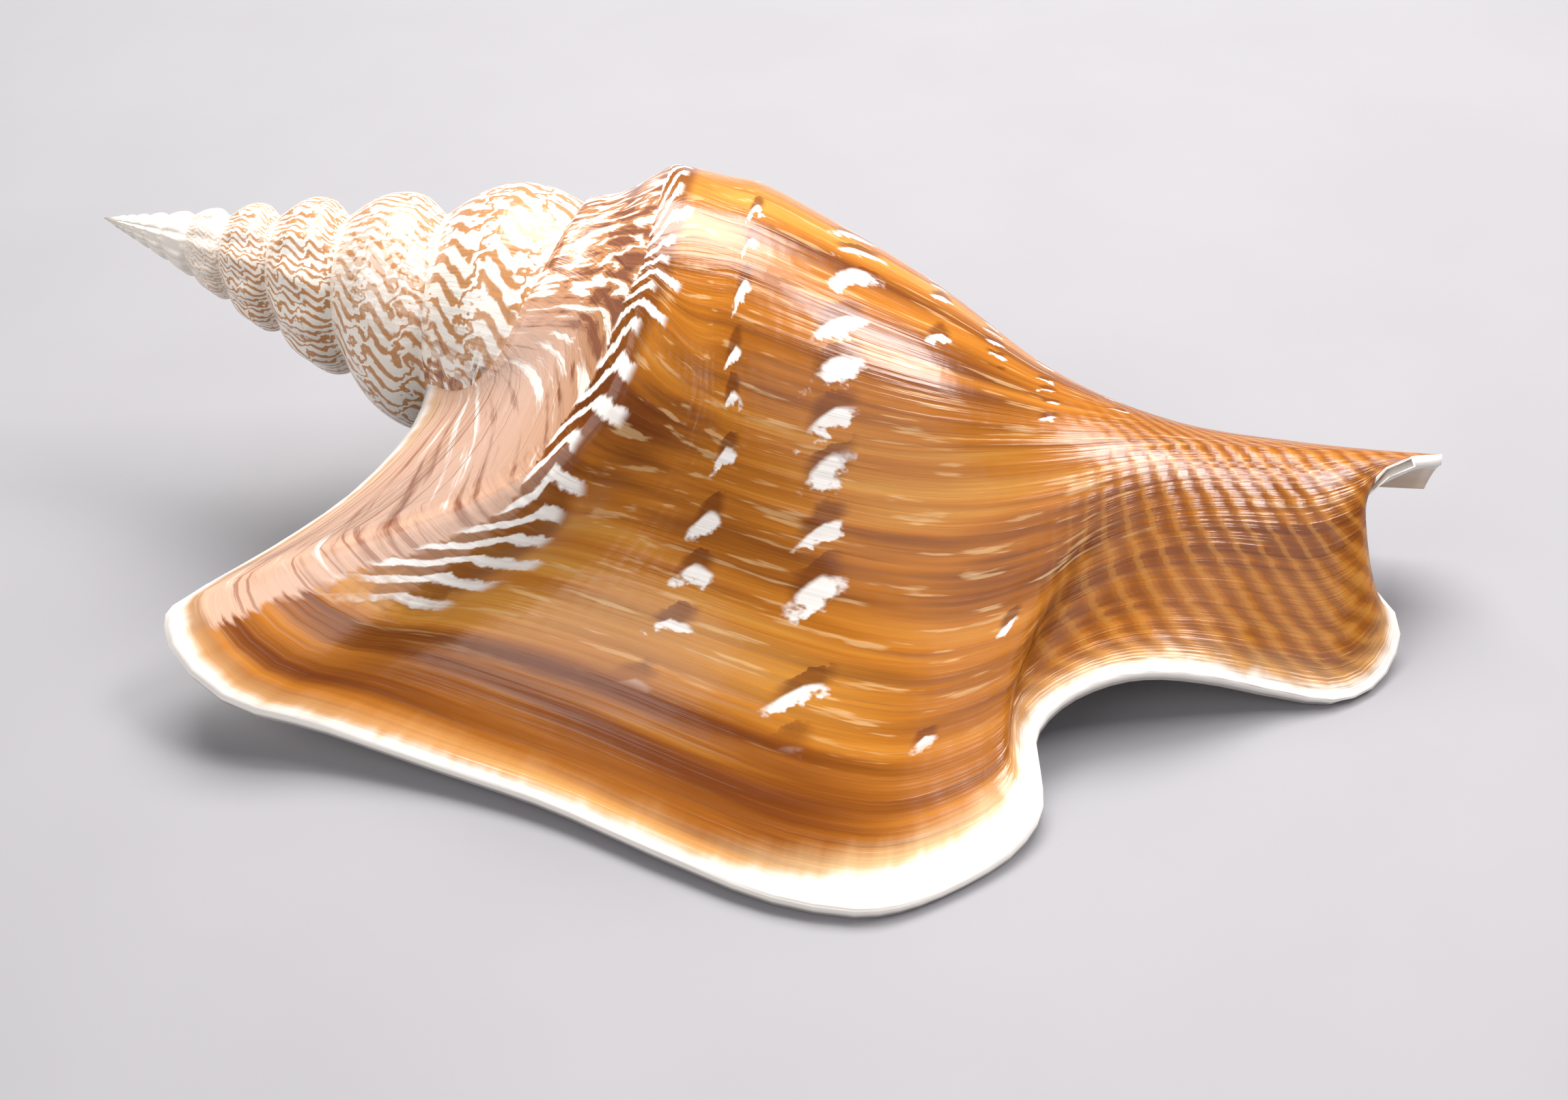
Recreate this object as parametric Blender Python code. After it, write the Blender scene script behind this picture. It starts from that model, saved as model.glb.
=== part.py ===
import math
from functools import lru_cache

import bmesh
import bpy
import numpy as np
from mathutils import Matrix, Vector

# A conch shell lying on its opening, grown as one piece.
# Lengths are millimetres in the shell's own frame until the body is settled on the table:
# x runs from the apex to the canal, z points out of the back and -y towards the lip.
# A place on the outer surface is a turn (whorls of growth, 0 on the back of the last whorl)
# and a section position (0 at the suture, 2 on the shoulder, 4 where the next whorl would
# cover it, 5 to 9 down the base to the end of the canal).
MILLIMETRE = 0.001
GROWTH = 1.38
LENGTH = 125.0
SUTURE_X = 46.6
SUTURE_R = 13.2
LIP_TURN = 0.255

# How far the last suture climbs towards the apex: turn, millimetres.
CLIMB = np.array([
    [-0.10, 0.0],
    [0.00, 0.5],
    [0.13, 3.2],
    [0.20, 6.2],
    [0.23, 9.2],
    [0.255, 13.2]])

# Radius over the suture's radius at section positions 0 to 4, on the first whorls, on the
# spire and on the body; and how far along the whorl those positions are.
YOUNG_BULGE = np.array([1.0, 1.19, 1.32, 1.405, GROWTH])
SPIRE_BULGE = np.array([1.0, 1.25, 1.42, 1.45, GROWTH])
BODY_BULGE = np.array([1.0, 1.16, 1.38, 1.44, 1.42])
SPIRE_ALONG = np.array([0.0, 0.25, 0.5, 0.75, 1.0])
BODY_ALONG = np.array([0.0, 0.20, 0.42, 0.72, 1.0])
YOUNG_UNTIL = -6.0
YOUNG_OVER = 2.5
BODY_FROM = -1.15
BODY_OVER = 0.75
# The spire's sutures are deeper than the spiral's own radius by this share.
SUTURE_DEPTH = 0.09
SUTURE_DEEP_UNTIL = -1.3

# Section positions 5 to 9: distance from the apex, radius, growth of the radius in a turn.
BASE = np.array([
    [79.0, 14.7, 1.75],
    [91.0, 9.6, 2.3],
    [102.0, 7.0, 2.6],
    [113.0, 6.0, 1.25],
    [125.0, 5.4, 1.0]])
BEND_FROM = 82.0
BEND_Y = 3.0
BEND_Z = 4.5

# Ribs on the early whorls: number in a turn, height over the radius, turns where they fade out.
RIB_COUNT = 12
RIB_HEIGHT = 0.035
RIB_FADE_FROM = -3.2
RIB_FADE_TO = -1.8

# Callus on the underside of the body: turn and section position of its middle, reach, height.
CALLUS_TURN = -0.52
CALLUS_TURN_REACH = 0.24
CALLUS_PLACE = 3.0
CALLUS_PLACE_REACH = 2.8
CALLUS_HEIGHT = 1.3

# Ridge along the shoulder of the last whorl, and the step where that whorl's edge laps the
# whorl before it: height, turn where it starts, turns until it is full, reach in the section.
KEEL_HEIGHT = 0.55
KEEL_FROM = -0.38
KEEL_OVER = 0.25
KEEL_REACH = 0.85
LAP_HEIGHT = 0.42
LAP_FROM = -0.95
LAP_OVER = 0.3
LAP_PLACE = 0.12
LAP_REACH = 0.9

# The lip's free edge: section position, then x, y, z, then the way the edge points.
LIP = np.array([
    [0.35, 37.6, -14.2, -2.2, -0.5, -0.1, -0.85],
    [0.9, 34.4, -20.3, -6.8, -0.7, -0.15, -0.7],
    [1.4, 28.6, -25.0, -11.8, -0.75, -0.35, -0.5],
    [1.8, 23.3, -29.3, -15.5, -0.72, -0.58, -0.36],
    [2.0, 22.0, -31.3, -16.6, -0.7, -0.62, -0.34],
    [2.2, 24.0, -34.4, -17.4, -0.66, -0.67, -0.32],
    [2.45, 29.5, -37.3, -17.9, -0.58, -0.74, -0.3],
    [2.9, 39.0, -37.4, -18.1, -0.36, -0.88, -0.3],
    [3.4, 49.5, -38.3, -17.7, -0.14, -0.94, -0.3],
    [3.9, 60.0, -39.9, -16.5, 0.0, -0.95, -0.3],
    [4.4, 71.0, -43.0, -14.9, 0.0, -0.95, -0.3],
    [4.9, 81.0, -45.2, -13.4, 0.1, -0.95, -0.3],
    [5.3, 88.5, -44.5, -12.2, 0.3, -0.9, -0.25],
    [5.6, 93.3, -41.2, -11.3, 0.55, -0.8, -0.2],
    [5.85, 97.4, -36.5, -10.0, 0.8, -0.6, -0.1],
    [6.05, 98.8, -32.8, -8.9, 0.95, -0.3, 0.0],
    [6.3, 97.9, -28.8, -7.8, 0.9, -0.1, 0.1],
    [6.5, 96.9, -26.4, -6.5, 0.8, -0.3, 0.1],
    [6.75, 98.4, -23.4, -4.7, 0.5, -0.8, 0.1],
    [7.0, 101.7, -21.0, -3.1, 0.3, -0.95, 0.0],
    [7.25, 105.5, -19.3, -2.5, 0.1, -1.0, -0.1],
    [7.5, 110.5, -17.4, -3.1, 0.0, -0.95, -0.25],
    [7.75, 116.0, -15.6, -4.2, 0.1, -0.95, -0.3],
    [7.95, 121.0, -14.2, -4.5, 0.5, -0.8, -0.3],
    [8.1, 123.7, -11.8, -4.0, 0.85, -0.5, -0.3],
    [8.25, 125.1, -8.3, -2.8, 0.95, 0.0, -0.3],
    [8.4, 124.6, -5.6, -0.9, 0.95, 0.2, -0.1],
    [8.55, 121.0, -3.9, 1.2, 1.0, 0.0, 0.0],
    [8.7, 118.6, -1.6, 3.2, 1.0, 0.0, 0.0],
    [8.8, 118.7, 0.0, 5.2, 1.0, 0.0, 0.0],
    [8.9, 120.0, 1.8, 8.2, 1.0, 0.0, 0.1],
    [9.0, 122.0, 2.6, 10.0, 1.0, 0.0, 0.1]])
CORNER_WAY = (-0.4, 0.0, -0.9)

# Where the wing leaves the spiral: section position, turn, pull at the start and at the edge,
# share of the last stretch's rows used before it leaves.
FLARE = np.array([
    [0.0, 0.17, 0.9, 0.9, 0.80],
    [1.0, 0.14, 1.0, 0.9, 0.68],
    [2.0, 0.12, 1.2, 1.1, 0.52],
    [3.0, 0.15, 0.9, 1.0, 0.45],
    [4.0, 0.165, 0.9, 1.0, 0.45],
    [5.0, 0.16, 0.9, 0.9, 0.45],
    [6.0, 0.12, 1.0, 0.8, 0.45],
    [7.0, 0.05, 1.0, 0.8, 0.45],
    [8.0, -0.02, 1.0, 0.7, 0.45],
    [9.0, -0.10, 0.9, 0.7, 0.45]])

# Thickness of the wall inside and at the lip's edge, and from the suture to the inner corner.
WALL = 1.6
LIP_WALL = 1.1
LIP_ROWS = 3
NORMAL_SMOOTHING = 4
CORNER_GAP = 0.12

# Rows of facets: in a turn, in the whole shell, over the last stretch, back to the hollow's end.
ROWS = 48
LAST_ROW = 450
STRETCH_ROWS = 20
HOLLOW_ROWS = 25
# Columns of facets as section positions, down a whorl and down the base.
EARLY_COLUMNS = np.array([0.0, 1.0, 2.0, 3.0, 4.0])
STRIP_COLUMNS = np.array([0.0, 0.12, 0.55, 1.0, 1.45, 1.8, 2.0, 2.2, 2.7, 3.3, 4.0])
BASE_COLUMNS = np.array([
    4.0, 4.5, 4.95, 5.25, 5.5, 5.7, 5.9, 6.1, 6.35, 6.6, 6.9,
    7.25, 7.6, 7.85, 8.05, 8.2, 8.35, 8.5, 8.65, 8.8, 9.0])
EARLY_UNTIL = -2.3
RELAX_ROWS = 14
COLUMELLA_FROM = 6.0
COLUMELLA_TO = 8.6

# The wall's contact with the table: anything lower than this is worn flat.
WORN_HEIGHT = 0.30
BACK_UP_TILT = math.radians(8.6)


def smooth(x):
    x = np.clip(x, 0.0, 1.0)
    return x * x * (3.0 - 2.0 * x)


def curve(knots, points, at):
    # a smooth curve through points at uneven knots
    gap = np.diff(knots)
    slope = np.diff(points, axis=0) / gap[:, None]
    tangent = np.empty_like(points)
    tangent[0] = slope[0]
    tangent[-1] = slope[-1]
    weight = (gap[1:] + gap[:-1])[:, None]
    tangent[1:-1] = (slope[:-1] * gap[1:, None] + slope[1:] * gap[:-1, None]) / weight
    i = np.clip(np.searchsorted(knots, at, side='right') - 1, 0, len(knots) - 2)
    t = ((at - knots[i]) / gap[i])[..., None]
    h = gap[i][..., None]
    return blend(points[i], h * tangent[i], points[i + 1], h * tangent[i + 1], t)


def blend(start, start_way, end, end_way, t):
    return ((2 * t**3 - 3 * t**2 + 1) * start + (t**3 - 2 * t**2 + t) * start_way
            + (3 * t**2 - 2 * t**3) * end + (t**3 - t**2) * end_way)


def suture_x(turn):
    climb = 0.0
    if turn > CLIMB[0, 0]:
        climb = curve(CLIMB[:, 0], CLIMB[:, 1:], np.array(turn))[0]
    return SUTURE_X * GROWTH**turn - climb


def body_share(turn):
    # 0 on the spire, 1 on the body
    return smooth((turn - BODY_FROM) / BODY_OVER)


def suture_waist(turn):
    deep = smooth((turn - YOUNG_UNTIL) / YOUNG_OVER) * (1.0 - smooth(turn - SUTURE_DEEP_UNTIL))
    return 1.0 - SUTURE_DEPTH * deep


@lru_cache(maxsize=None)
def profile(turn):
    # ten points of the whorl's outline as distance from the apex and radius
    scale = GROWTH**turn
    body = body_share(turn)
    young = 1.0 - smooth((turn - YOUNG_UNTIL) / YOUNG_OVER)
    along = (1.0 - body) * SPIRE_ALONG + body * BODY_ALONG
    bulge = young * YOUNG_BULGE + (1.0 - young) * SPIRE_BULGE
    x = SUTURE_X * scale * (1.0 + (GROWTH - 1.0) * along)
    r = SUTURE_R * scale * ((1.0 - body) * bulge + body * BODY_BULGE)
    r[0] *= suture_waist(turn)
    r[4] *= suture_waist(turn + 1.0)
    share = (LENGTH - BASE[:, 0]) / (LENGTH - SUTURE_X * GROWTH)
    base_x = BASE[:, 0] + SUTURE_X * GROWTH * (scale - 1.0) * share
    base_r = BASE[:, 1] * BASE[:, 2]**turn
    points = np.c_[np.r_[x, base_x], np.r_[r, base_r]]
    if turn > CLIMB[0, 0]:
        climbed = suture_x(turn) - points[0, 0]
        points[0] = section(turn - 1.0, np.array([crossing(turn - 1.0)]))[0]
        points[1, 0] += 0.55 * climbed
        points[1, 1] += 0.02 * climbed
    return points


def section(turn, s):
    points = profile(turn)
    outline = curve(np.arange(10), points, s)
    body = body_share(turn)
    if body < 1.0:
        # on the spire the whorl runs into its suture without a base
        points = points.copy()
        points[5] = 2.0 * points[4] - points[3]
        spire = curve(np.arange(10), points, s)
        outline = np.where(s[:, None] < 4.0, (1.0 - body) * spire + body * outline, outline)
    return outline


@lru_cache(maxsize=None)
def crossing(turn):
    # section position at which the next whorl covers this one
    want = suture_x(turn + 1.0)
    low = 0.0
    high = 5.0
    for _ in range(30):
        middle = 0.5 * (low + high)
        if section(turn, np.array([middle]))[0, 0] < want:
            low = middle
        else:
            high = middle
    return 0.5 * (low + high)


def ribs(turn, s):
    # upright ribs on the early whorls, highest half way down the whorl
    fade = 1.0 - smooth((turn - RIB_FADE_FROM) / (RIB_FADE_TO - RIB_FADE_FROM))
    wave = math.cos(2.0 * math.pi * RIB_COUNT * turn)
    return 1.0 + RIB_HEIGHT * fade * wave * np.clip(np.sin(math.pi * s / 4.0), 0.0, 1.0)


def callus(turn, s):
    around = smooth(1.0 - abs(turn - CALLUS_TURN) / CALLUS_TURN_REACH)
    down = smooth(1.0 - np.abs(s - CALLUS_PLACE) / CALLUS_PLACE_REACH)
    return CALLUS_HEIGHT * around * down


def keel(turn, s):
    # the angular shoulder of the last whorl
    strength = smooth((turn - KEEL_FROM) / KEEL_OVER)
    return KEEL_HEIGHT * strength * np.clip(1.0 - np.abs(s - 2.0) / KEEL_REACH, 0.0, 1.0)**1.6


def lap(turn, s):
    # the raised edge of the last whorl along its suture
    strength = smooth((turn - LAP_FROM) / LAP_OVER)
    return LAP_HEIGHT * strength * smooth(s / LAP_PLACE) * (1.0 - smooth((s - LAP_PLACE) / LAP_REACH))


def spiral(turn, s):
    outline = section(turn, s)
    x = outline[:, 0]
    r = outline[:, 1] * ribs(turn, s) + callus(turn, s) + keel(turn, s) + lap(turn, s)
    along = np.clip((x - BEND_FROM) / (LENGTH - BEND_FROM), 0.0, 1.0)**2
    angle = 2.0 * math.pi * turn
    y = -r * math.sin(angle) + BEND_Y * along
    z = r * math.cos(angle) + BEND_Z * along
    return np.stack([x, y, z], -1)


def spiral_point(turn, s):
    return spiral(turn, np.array([s]))[0]


def lip_edge(s):
    corner = spiral_point(LIP_TURN - 1.0, crossing(LIP_TURN - 1.0))
    knots = np.r_[0.0, LIP[:, 0]]
    points = np.vstack([np.r_[corner, CORNER_WAY], LIP[:, 1:]])
    out = curve(knots, points, s)
    way = out[:, 3:]
    return out[:, :3], way / np.linalg.norm(way, axis=1, keepdims=True)


def last_whorl(s, start, shares):
    # rows of points from the turn called start (share 0) out to the lip's edge (share 1)
    flare = curve(FLARE[:, 0], FLARE[:, 1:], s)
    edge, edge_way = lip_edge(s)
    leave = np.array([spiral_point(t, p) for t, p in zip(flare[:, 0], s)])
    before = np.array([spiral_point(t - 0.002, p) for t, p in zip(flare[:, 0], s)])
    way = (leave - before) / np.linalg.norm(leave - before, axis=1, keepdims=True)
    chord = np.linalg.norm(edge - leave, axis=1, keepdims=True)
    way = way * chord * flare[:, 1:2]
    edge_way = edge_way * chord * flare[:, 2:3]
    rows = []
    for share in shares:
        early = share / flare[:, 3]
        turns = start + (flare[:, 0] - start) * np.minimum(early, 1.0)
        wound = np.array([spiral_point(t, p) for t, p in zip(turns, s)])
        late = np.clip((share - flare[:, 3]) / (1.0 - flare[:, 3]), 0.0, 1.0)[:, None]
        flared = blend(leave, way, edge, edge_way, late)
        rows.append(np.where(late > 0.0, flared, wound))
    # the suture itself stays on the whorl before it
    rows = np.array(rows)
    hold = np.clip(1.0 - s, 0.0, 1.0)**2
    for row, share in zip(rows, shares):
        turn = start + (LIP_TURN - start) * share
        suture = spiral_point(turn - 1.0, crossing(turn - 1.0))
        row += hold[:, None] * (suture - row[0])
    return rows


def row_turn(row):
    return round(LIP_TURN - (LAST_ROW - row) / ROWS, 9)


def strip_split(row):
    # section position where the strip down a whorl ends
    corner_row = LAST_ROW - ROWS
    if row <= corner_row:
        return crossing(row_turn(row))
    ease = smooth((row - corner_row) / RELAX_ROWS)
    corner = crossing(row_turn(corner_row))
    return corner + (STRIP_COLUMNS[-1] - corner) * ease


def base_positions(split):
    share = (BASE_COLUMNS - BASE_COLUMNS[0]) / (BASE_COLUMNS[-1] - BASE_COLUMNS[0])
    squeezed = split + (BASE_COLUMNS[-1] - split) * share
    near = smooth((BASE_COLUMNS - 4.0) / 2.5)
    return squeezed * (1.0 - near) + BASE_COLUMNS * near


def base_first_row(s):
    # the first row of the base: a turn behind the hollow's end, or at it along the canal
    back = smooth((s - COLUMELLA_FROM) / (COLUMELLA_TO - COLUMELLA_FROM))
    return int(round(LAST_ROW - HOLLOW_ROWS - ROWS * (1.0 - back)))


def stitch(left, right):
    # triangles between two polylines of (place, vertex) that share a direction
    faces = []
    i = 0
    j = 0
    while i < len(left) - 1 or j < len(right) - 1:
        step_left = j == len(right) - 1
        if not step_left and i < len(left) - 1:
            step_left = left[i + 1][0] + left[i][0] <= right[j + 1][0] + right[j][0]
        if step_left:
            faces.append((left[i][1], left[i + 1][1], right[j][1]))
            i += 1
        else:
            faces.append((left[i][1], right[j + 1][1], right[j][1]))
            j += 1
    return [face for face in faces if len(set(face)) == 3]


def grow():
    # every vertex and facet of the closed shell
    points = []
    faces = []

    def add(point):
        points.append(np.asarray(point, float))
        return len(points) - 1

    corner_row = LAST_ROW - ROWS
    stretch_row = LAST_ROW - STRETCH_ROWS
    hollow_row = LAST_ROW - HOLLOW_ROWS
    section_places = np.r_[STRIP_COLUMNS, BASE_COLUMNS[1:]]
    strip_count = len(STRIP_COLUMNS)

    shares = np.arange(STRETCH_ROWS + 1) / STRETCH_ROWS
    stretch = last_whorl(section_places, row_turn(stretch_row), shares)

    # outer strip down each whorl; its last vertex is the first one of the next whorl
    strip = []
    for row in range(LAST_ROW + 1):
        turn = row_turn(row)
        early = turn < EARLY_UNTIL
        places = (EARLY_COLUMNS if early else STRIP_COLUMNS) / 4.0 * strip_split(row)
        if row >= stretch_row:
            line = stretch[row - stretch_row][:strip_count]
        else:
            line = spiral(turn, places)
        ids = []
        for k, point in enumerate(line):
            if k == 0 and row >= ROWS:
                ids.append(strip[row - ROWS][-1])
            else:
                ids.append(add(point))
        strip.append(ids)
    for low, high in zip(strip, strip[1:]):
        if len(low) == len(high):
            faces += [(low[k], low[k + 1], high[k + 1], high[k]) for k in range(len(low) - 1)]
        else:
            left = [(k / (len(low) - 1), low[k]) for k in range(len(low))]
            right = [(k / (len(high) - 1), high[k]) for k in range(len(high))]
            faces += stitch(left, right)

    # the apex is closed to a point
    apex = add((0.3, 0.0, 0.0))
    rim = [strip[row][0] for row in range(ROWS + 1)] + strip[0][-2::-1]
    faces += [(rim[k], rim[k + 1], apex) for k in range(len(rim) - 1)]

    # inner face of the outer wall, from the lip back to the hollow's end
    back_turns = [row_turn(row) for row in range(hollow_row - 1, stretch_row)]
    back = np.array([spiral(turn, section_places) for turn in back_turns])
    sheet = np.concatenate([back, stretch])
    along = np.gradient(sheet, axis=0)
    across = np.gradient(sheet, section_places, axis=1)
    normal = np.cross(along, across)
    normal /= np.linalg.norm(normal, axis=2, keepdims=True)
    for _ in range(NORMAL_SMOOTHING):
        normal[:, 1:-1] = (normal[:, :-2] + 2.0 * normal[:, 1:-1] + normal[:, 2:]) / 4.0
        normal /= np.linalg.norm(normal, axis=2, keepdims=True)
    inner = []
    for row in range(hollow_row, LAST_ROW + 1):
        at = row - hollow_row + 1
        near_lip = smooth(1.0 - (LAST_ROW - row) / LIP_ROWS)
        wall = WALL + (LIP_WALL - WALL) * near_lip
        thin = 0.25 + 0.75 * smooth(section_places / 1.2)
        thin = thin * (1.0 - 0.4 * smooth((section_places - 7.8) / 0.6))
        line = sheet[at] - normal[at] * (wall * thin)[:, None]
        turn = row_turn(row) - 1.0
        corner = spiral_point(turn, crossing(turn) + CORNER_GAP)
        hold = np.clip(1.0 - section_places, 0.0, 1.0)**2
        line = line + hold[:, None] * (corner - line[0])
        inner.append([add(point) for point in line])
    for low, high in zip(inner, inner[1:]):
        faces += [(low[k], low[k + 1], high[k + 1], high[k]) for k in range(len(low) - 1)]

    # base of the last whorl; inside the hollow it is the inner wall
    base = {}
    for row in range(hollow_row - ROWS, LAST_ROW + 1):
        turn = row_turn(row)
        split = strip_split(row)
        inside = row <= corner_row
        places = base_positions(split + CORNER_GAP if inside else split)
        if row >= stretch_row:
            line = stretch[row - stretch_row][strip_count - 1:]
        else:
            line = spiral(turn, places)
        for k in range(len(BASE_COLUMNS)):
            if row < base_first_row(BASE_COLUMNS[k]):
                continue
            if k == 0:
                base[row, k] = inner[row - corner_row + HOLLOW_ROWS][0] if inside else strip[row][-1]
            else:
                base[row, k] = add(line[k])
    for row, k in base:
        cell = [(row, k), (row, k + 1), (row + 1, k + 1), (row + 1, k)]
        if all(corner in base for corner in cell):
            faces.append(tuple(base[corner] for corner in cell))

    # the posterior corner of the opening
    faces.append((strip[LAST_ROW][0], strip[corner_row + 1][-1], inner[-1][0]))

    # the lip's rim and the rim round the end of the canal
    outer = strip[LAST_ROW] + [base[LAST_ROW, k] for k in range(1, len(BASE_COLUMNS))]
    faces += [(outer[k], outer[k + 1], inner[-1][k + 1], inner[-1][k]) for k in range(len(outer) - 1)]
    last = len(BASE_COLUMNS) - 1
    for row in range(hollow_row, LAST_ROW):
        at = row - hollow_row
        faces.append((base[row, last], base[row + 1, last], inner[at + 1][-1], inner[at][-1]))

    # the hollow's deep end, between the inner face and the inner wall's edge
    edge = []
    for k in range(len(BASE_COLUMNS)):
        first = base_first_row(BASE_COLUMNS[k])
        edge.append((BASE_COLUMNS[k], base[first, k]))
        if k < last:
            then = base_first_row(BASE_COLUMNS[k + 1])
            for row in range(first + 1, then + 1):
                between = BASE_COLUMNS[k] + (BASE_COLUMNS[k + 1] - BASE_COLUMNS[k]) * (row - first) / (then - first)
                edge.append((between, base[row, k]))
    end = [(section_places[k], inner[0][k]) for k in range(len(section_places))]
    faces += stitch(edge, end)
    return np.array(points), faces


def resting_plane(body, centre):
    # the hull's facet under the centre of mass that is nearest to the pose it was found in
    hull = body.copy()
    bmesh.ops.convex_hull(hull, input=hull.verts)
    loose = [v for v in hull.verts if not v.link_faces]
    bmesh.ops.delete(hull, geom=loose, context='VERTS')
    wanted = Vector((math.sin(BACK_UP_TILT), 0.0, -math.cos(BACK_UP_TILT)))
    best = None
    for face in hull.faces:
        normal = face.normal
        if normal.dot(wanted) < 0.9:
            continue
        foot = centre + normal * (face.verts[0].co - centre).dot(normal)
        corners = [v.co for v in face.verts]
        inside = True
        for k, corner in enumerate(corners):
            side = corners[(k + 1) % len(corners)] - corner
            if side.cross(foot - corner).dot(normal) < 0.0:
                inside = False
        if inside and (best is None or normal.dot(wanted) > best.dot(wanted)):
            best = normal.copy()
    hull.free()
    return best if best is not None else wanted


def centre_of_mass(body):
    total = 0.0
    moment = Vector((0.0, 0.0, 0.0))
    for face in body.faces:
        a = face.verts[0].co
        for k in range(1, len(face.verts) - 1):
            b = face.verts[k].co
            c = face.verts[k + 1].co
            volume = a.dot(b.cross(c)) / 6.0
            total += volume
            moment += volume * (a + b + c) / 4.0
    return moment / total


def settle(body):
    # turn the shell onto its resting facet, wear the contact flat, put it over the origin
    centre = centre_of_mass(body)
    down = resting_plane(body, centre)
    turn = down.rotation_difference(Vector((0.0, 0.0, -1.0))).to_matrix()
    ahead = turn @ Vector((1.0, 0.0, 0.0))
    square = Matrix.Rotation(-math.atan2(ahead.y, ahead.x), 3, 'Z')
    turn = square @ turn
    for vert in body.verts:
        vert.co = turn @ vert.co
    low = min(vert.co.z for vert in body.verts)
    for vert in body.verts:
        vert.co.z = max(vert.co.z - low - WORN_HEIGHT, 0.0)
    middle_x = 0.5 * (min(v.co.x for v in body.verts) + max(v.co.x for v in body.verts))
    middle_y = 0.5 * (min(v.co.y for v in body.verts) + max(v.co.y for v in body.verts))
    for vert in body.verts:
        vert.co = Vector((vert.co.x - middle_x, vert.co.y - middle_y, vert.co.z)) * MILLIMETRE


def shell_material():
    material = bpy.data.materials.new('glossy_shell')
    material.use_nodes = True
    shader = material.node_tree.nodes['Principled BSDF']
    shader.inputs['Base Color'].default_value = (0.52, 0.21, 0.04, 1.0)
    shader.inputs['Roughness'].default_value = 0.28
    return material


def main():
    for leftover in list(bpy.data.objects):
        bpy.data.objects.remove(leftover)
    points, faces = grow()
    mesh = bpy.data.meshes.new('shell')
    mesh.from_pydata([tuple(point) for point in points], [], faces)
    body = bmesh.new()
    body.from_mesh(mesh)
    bmesh.ops.triangulate(body, faces=body.faces)
    bmesh.ops.recalc_face_normals(body, faces=body.faces)
    settle(body)
    body.to_mesh(mesh)
    body.free()
    mesh.materials.append(shell_material())
    shell = bpy.data.objects.new('shell', mesh)
    bpy.context.scene.collection.objects.link(shell)


main()
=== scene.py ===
import math
from functools import lru_cache, reduce

import bpy
import numpy as np
from mathutils import Matrix, Vector


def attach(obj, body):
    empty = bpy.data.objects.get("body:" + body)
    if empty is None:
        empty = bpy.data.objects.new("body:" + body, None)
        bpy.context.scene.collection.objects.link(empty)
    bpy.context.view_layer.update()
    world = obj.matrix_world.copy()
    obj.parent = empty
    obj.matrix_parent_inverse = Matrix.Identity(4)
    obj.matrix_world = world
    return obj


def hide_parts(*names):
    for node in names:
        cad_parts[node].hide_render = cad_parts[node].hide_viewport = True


scene = bpy.context.scene
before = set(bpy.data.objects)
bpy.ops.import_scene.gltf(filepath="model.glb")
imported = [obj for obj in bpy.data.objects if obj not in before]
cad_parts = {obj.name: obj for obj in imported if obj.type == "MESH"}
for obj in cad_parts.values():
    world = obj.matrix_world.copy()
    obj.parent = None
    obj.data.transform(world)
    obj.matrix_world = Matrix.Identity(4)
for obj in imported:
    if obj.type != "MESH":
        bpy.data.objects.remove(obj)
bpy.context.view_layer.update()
print("frame loaded")

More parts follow.
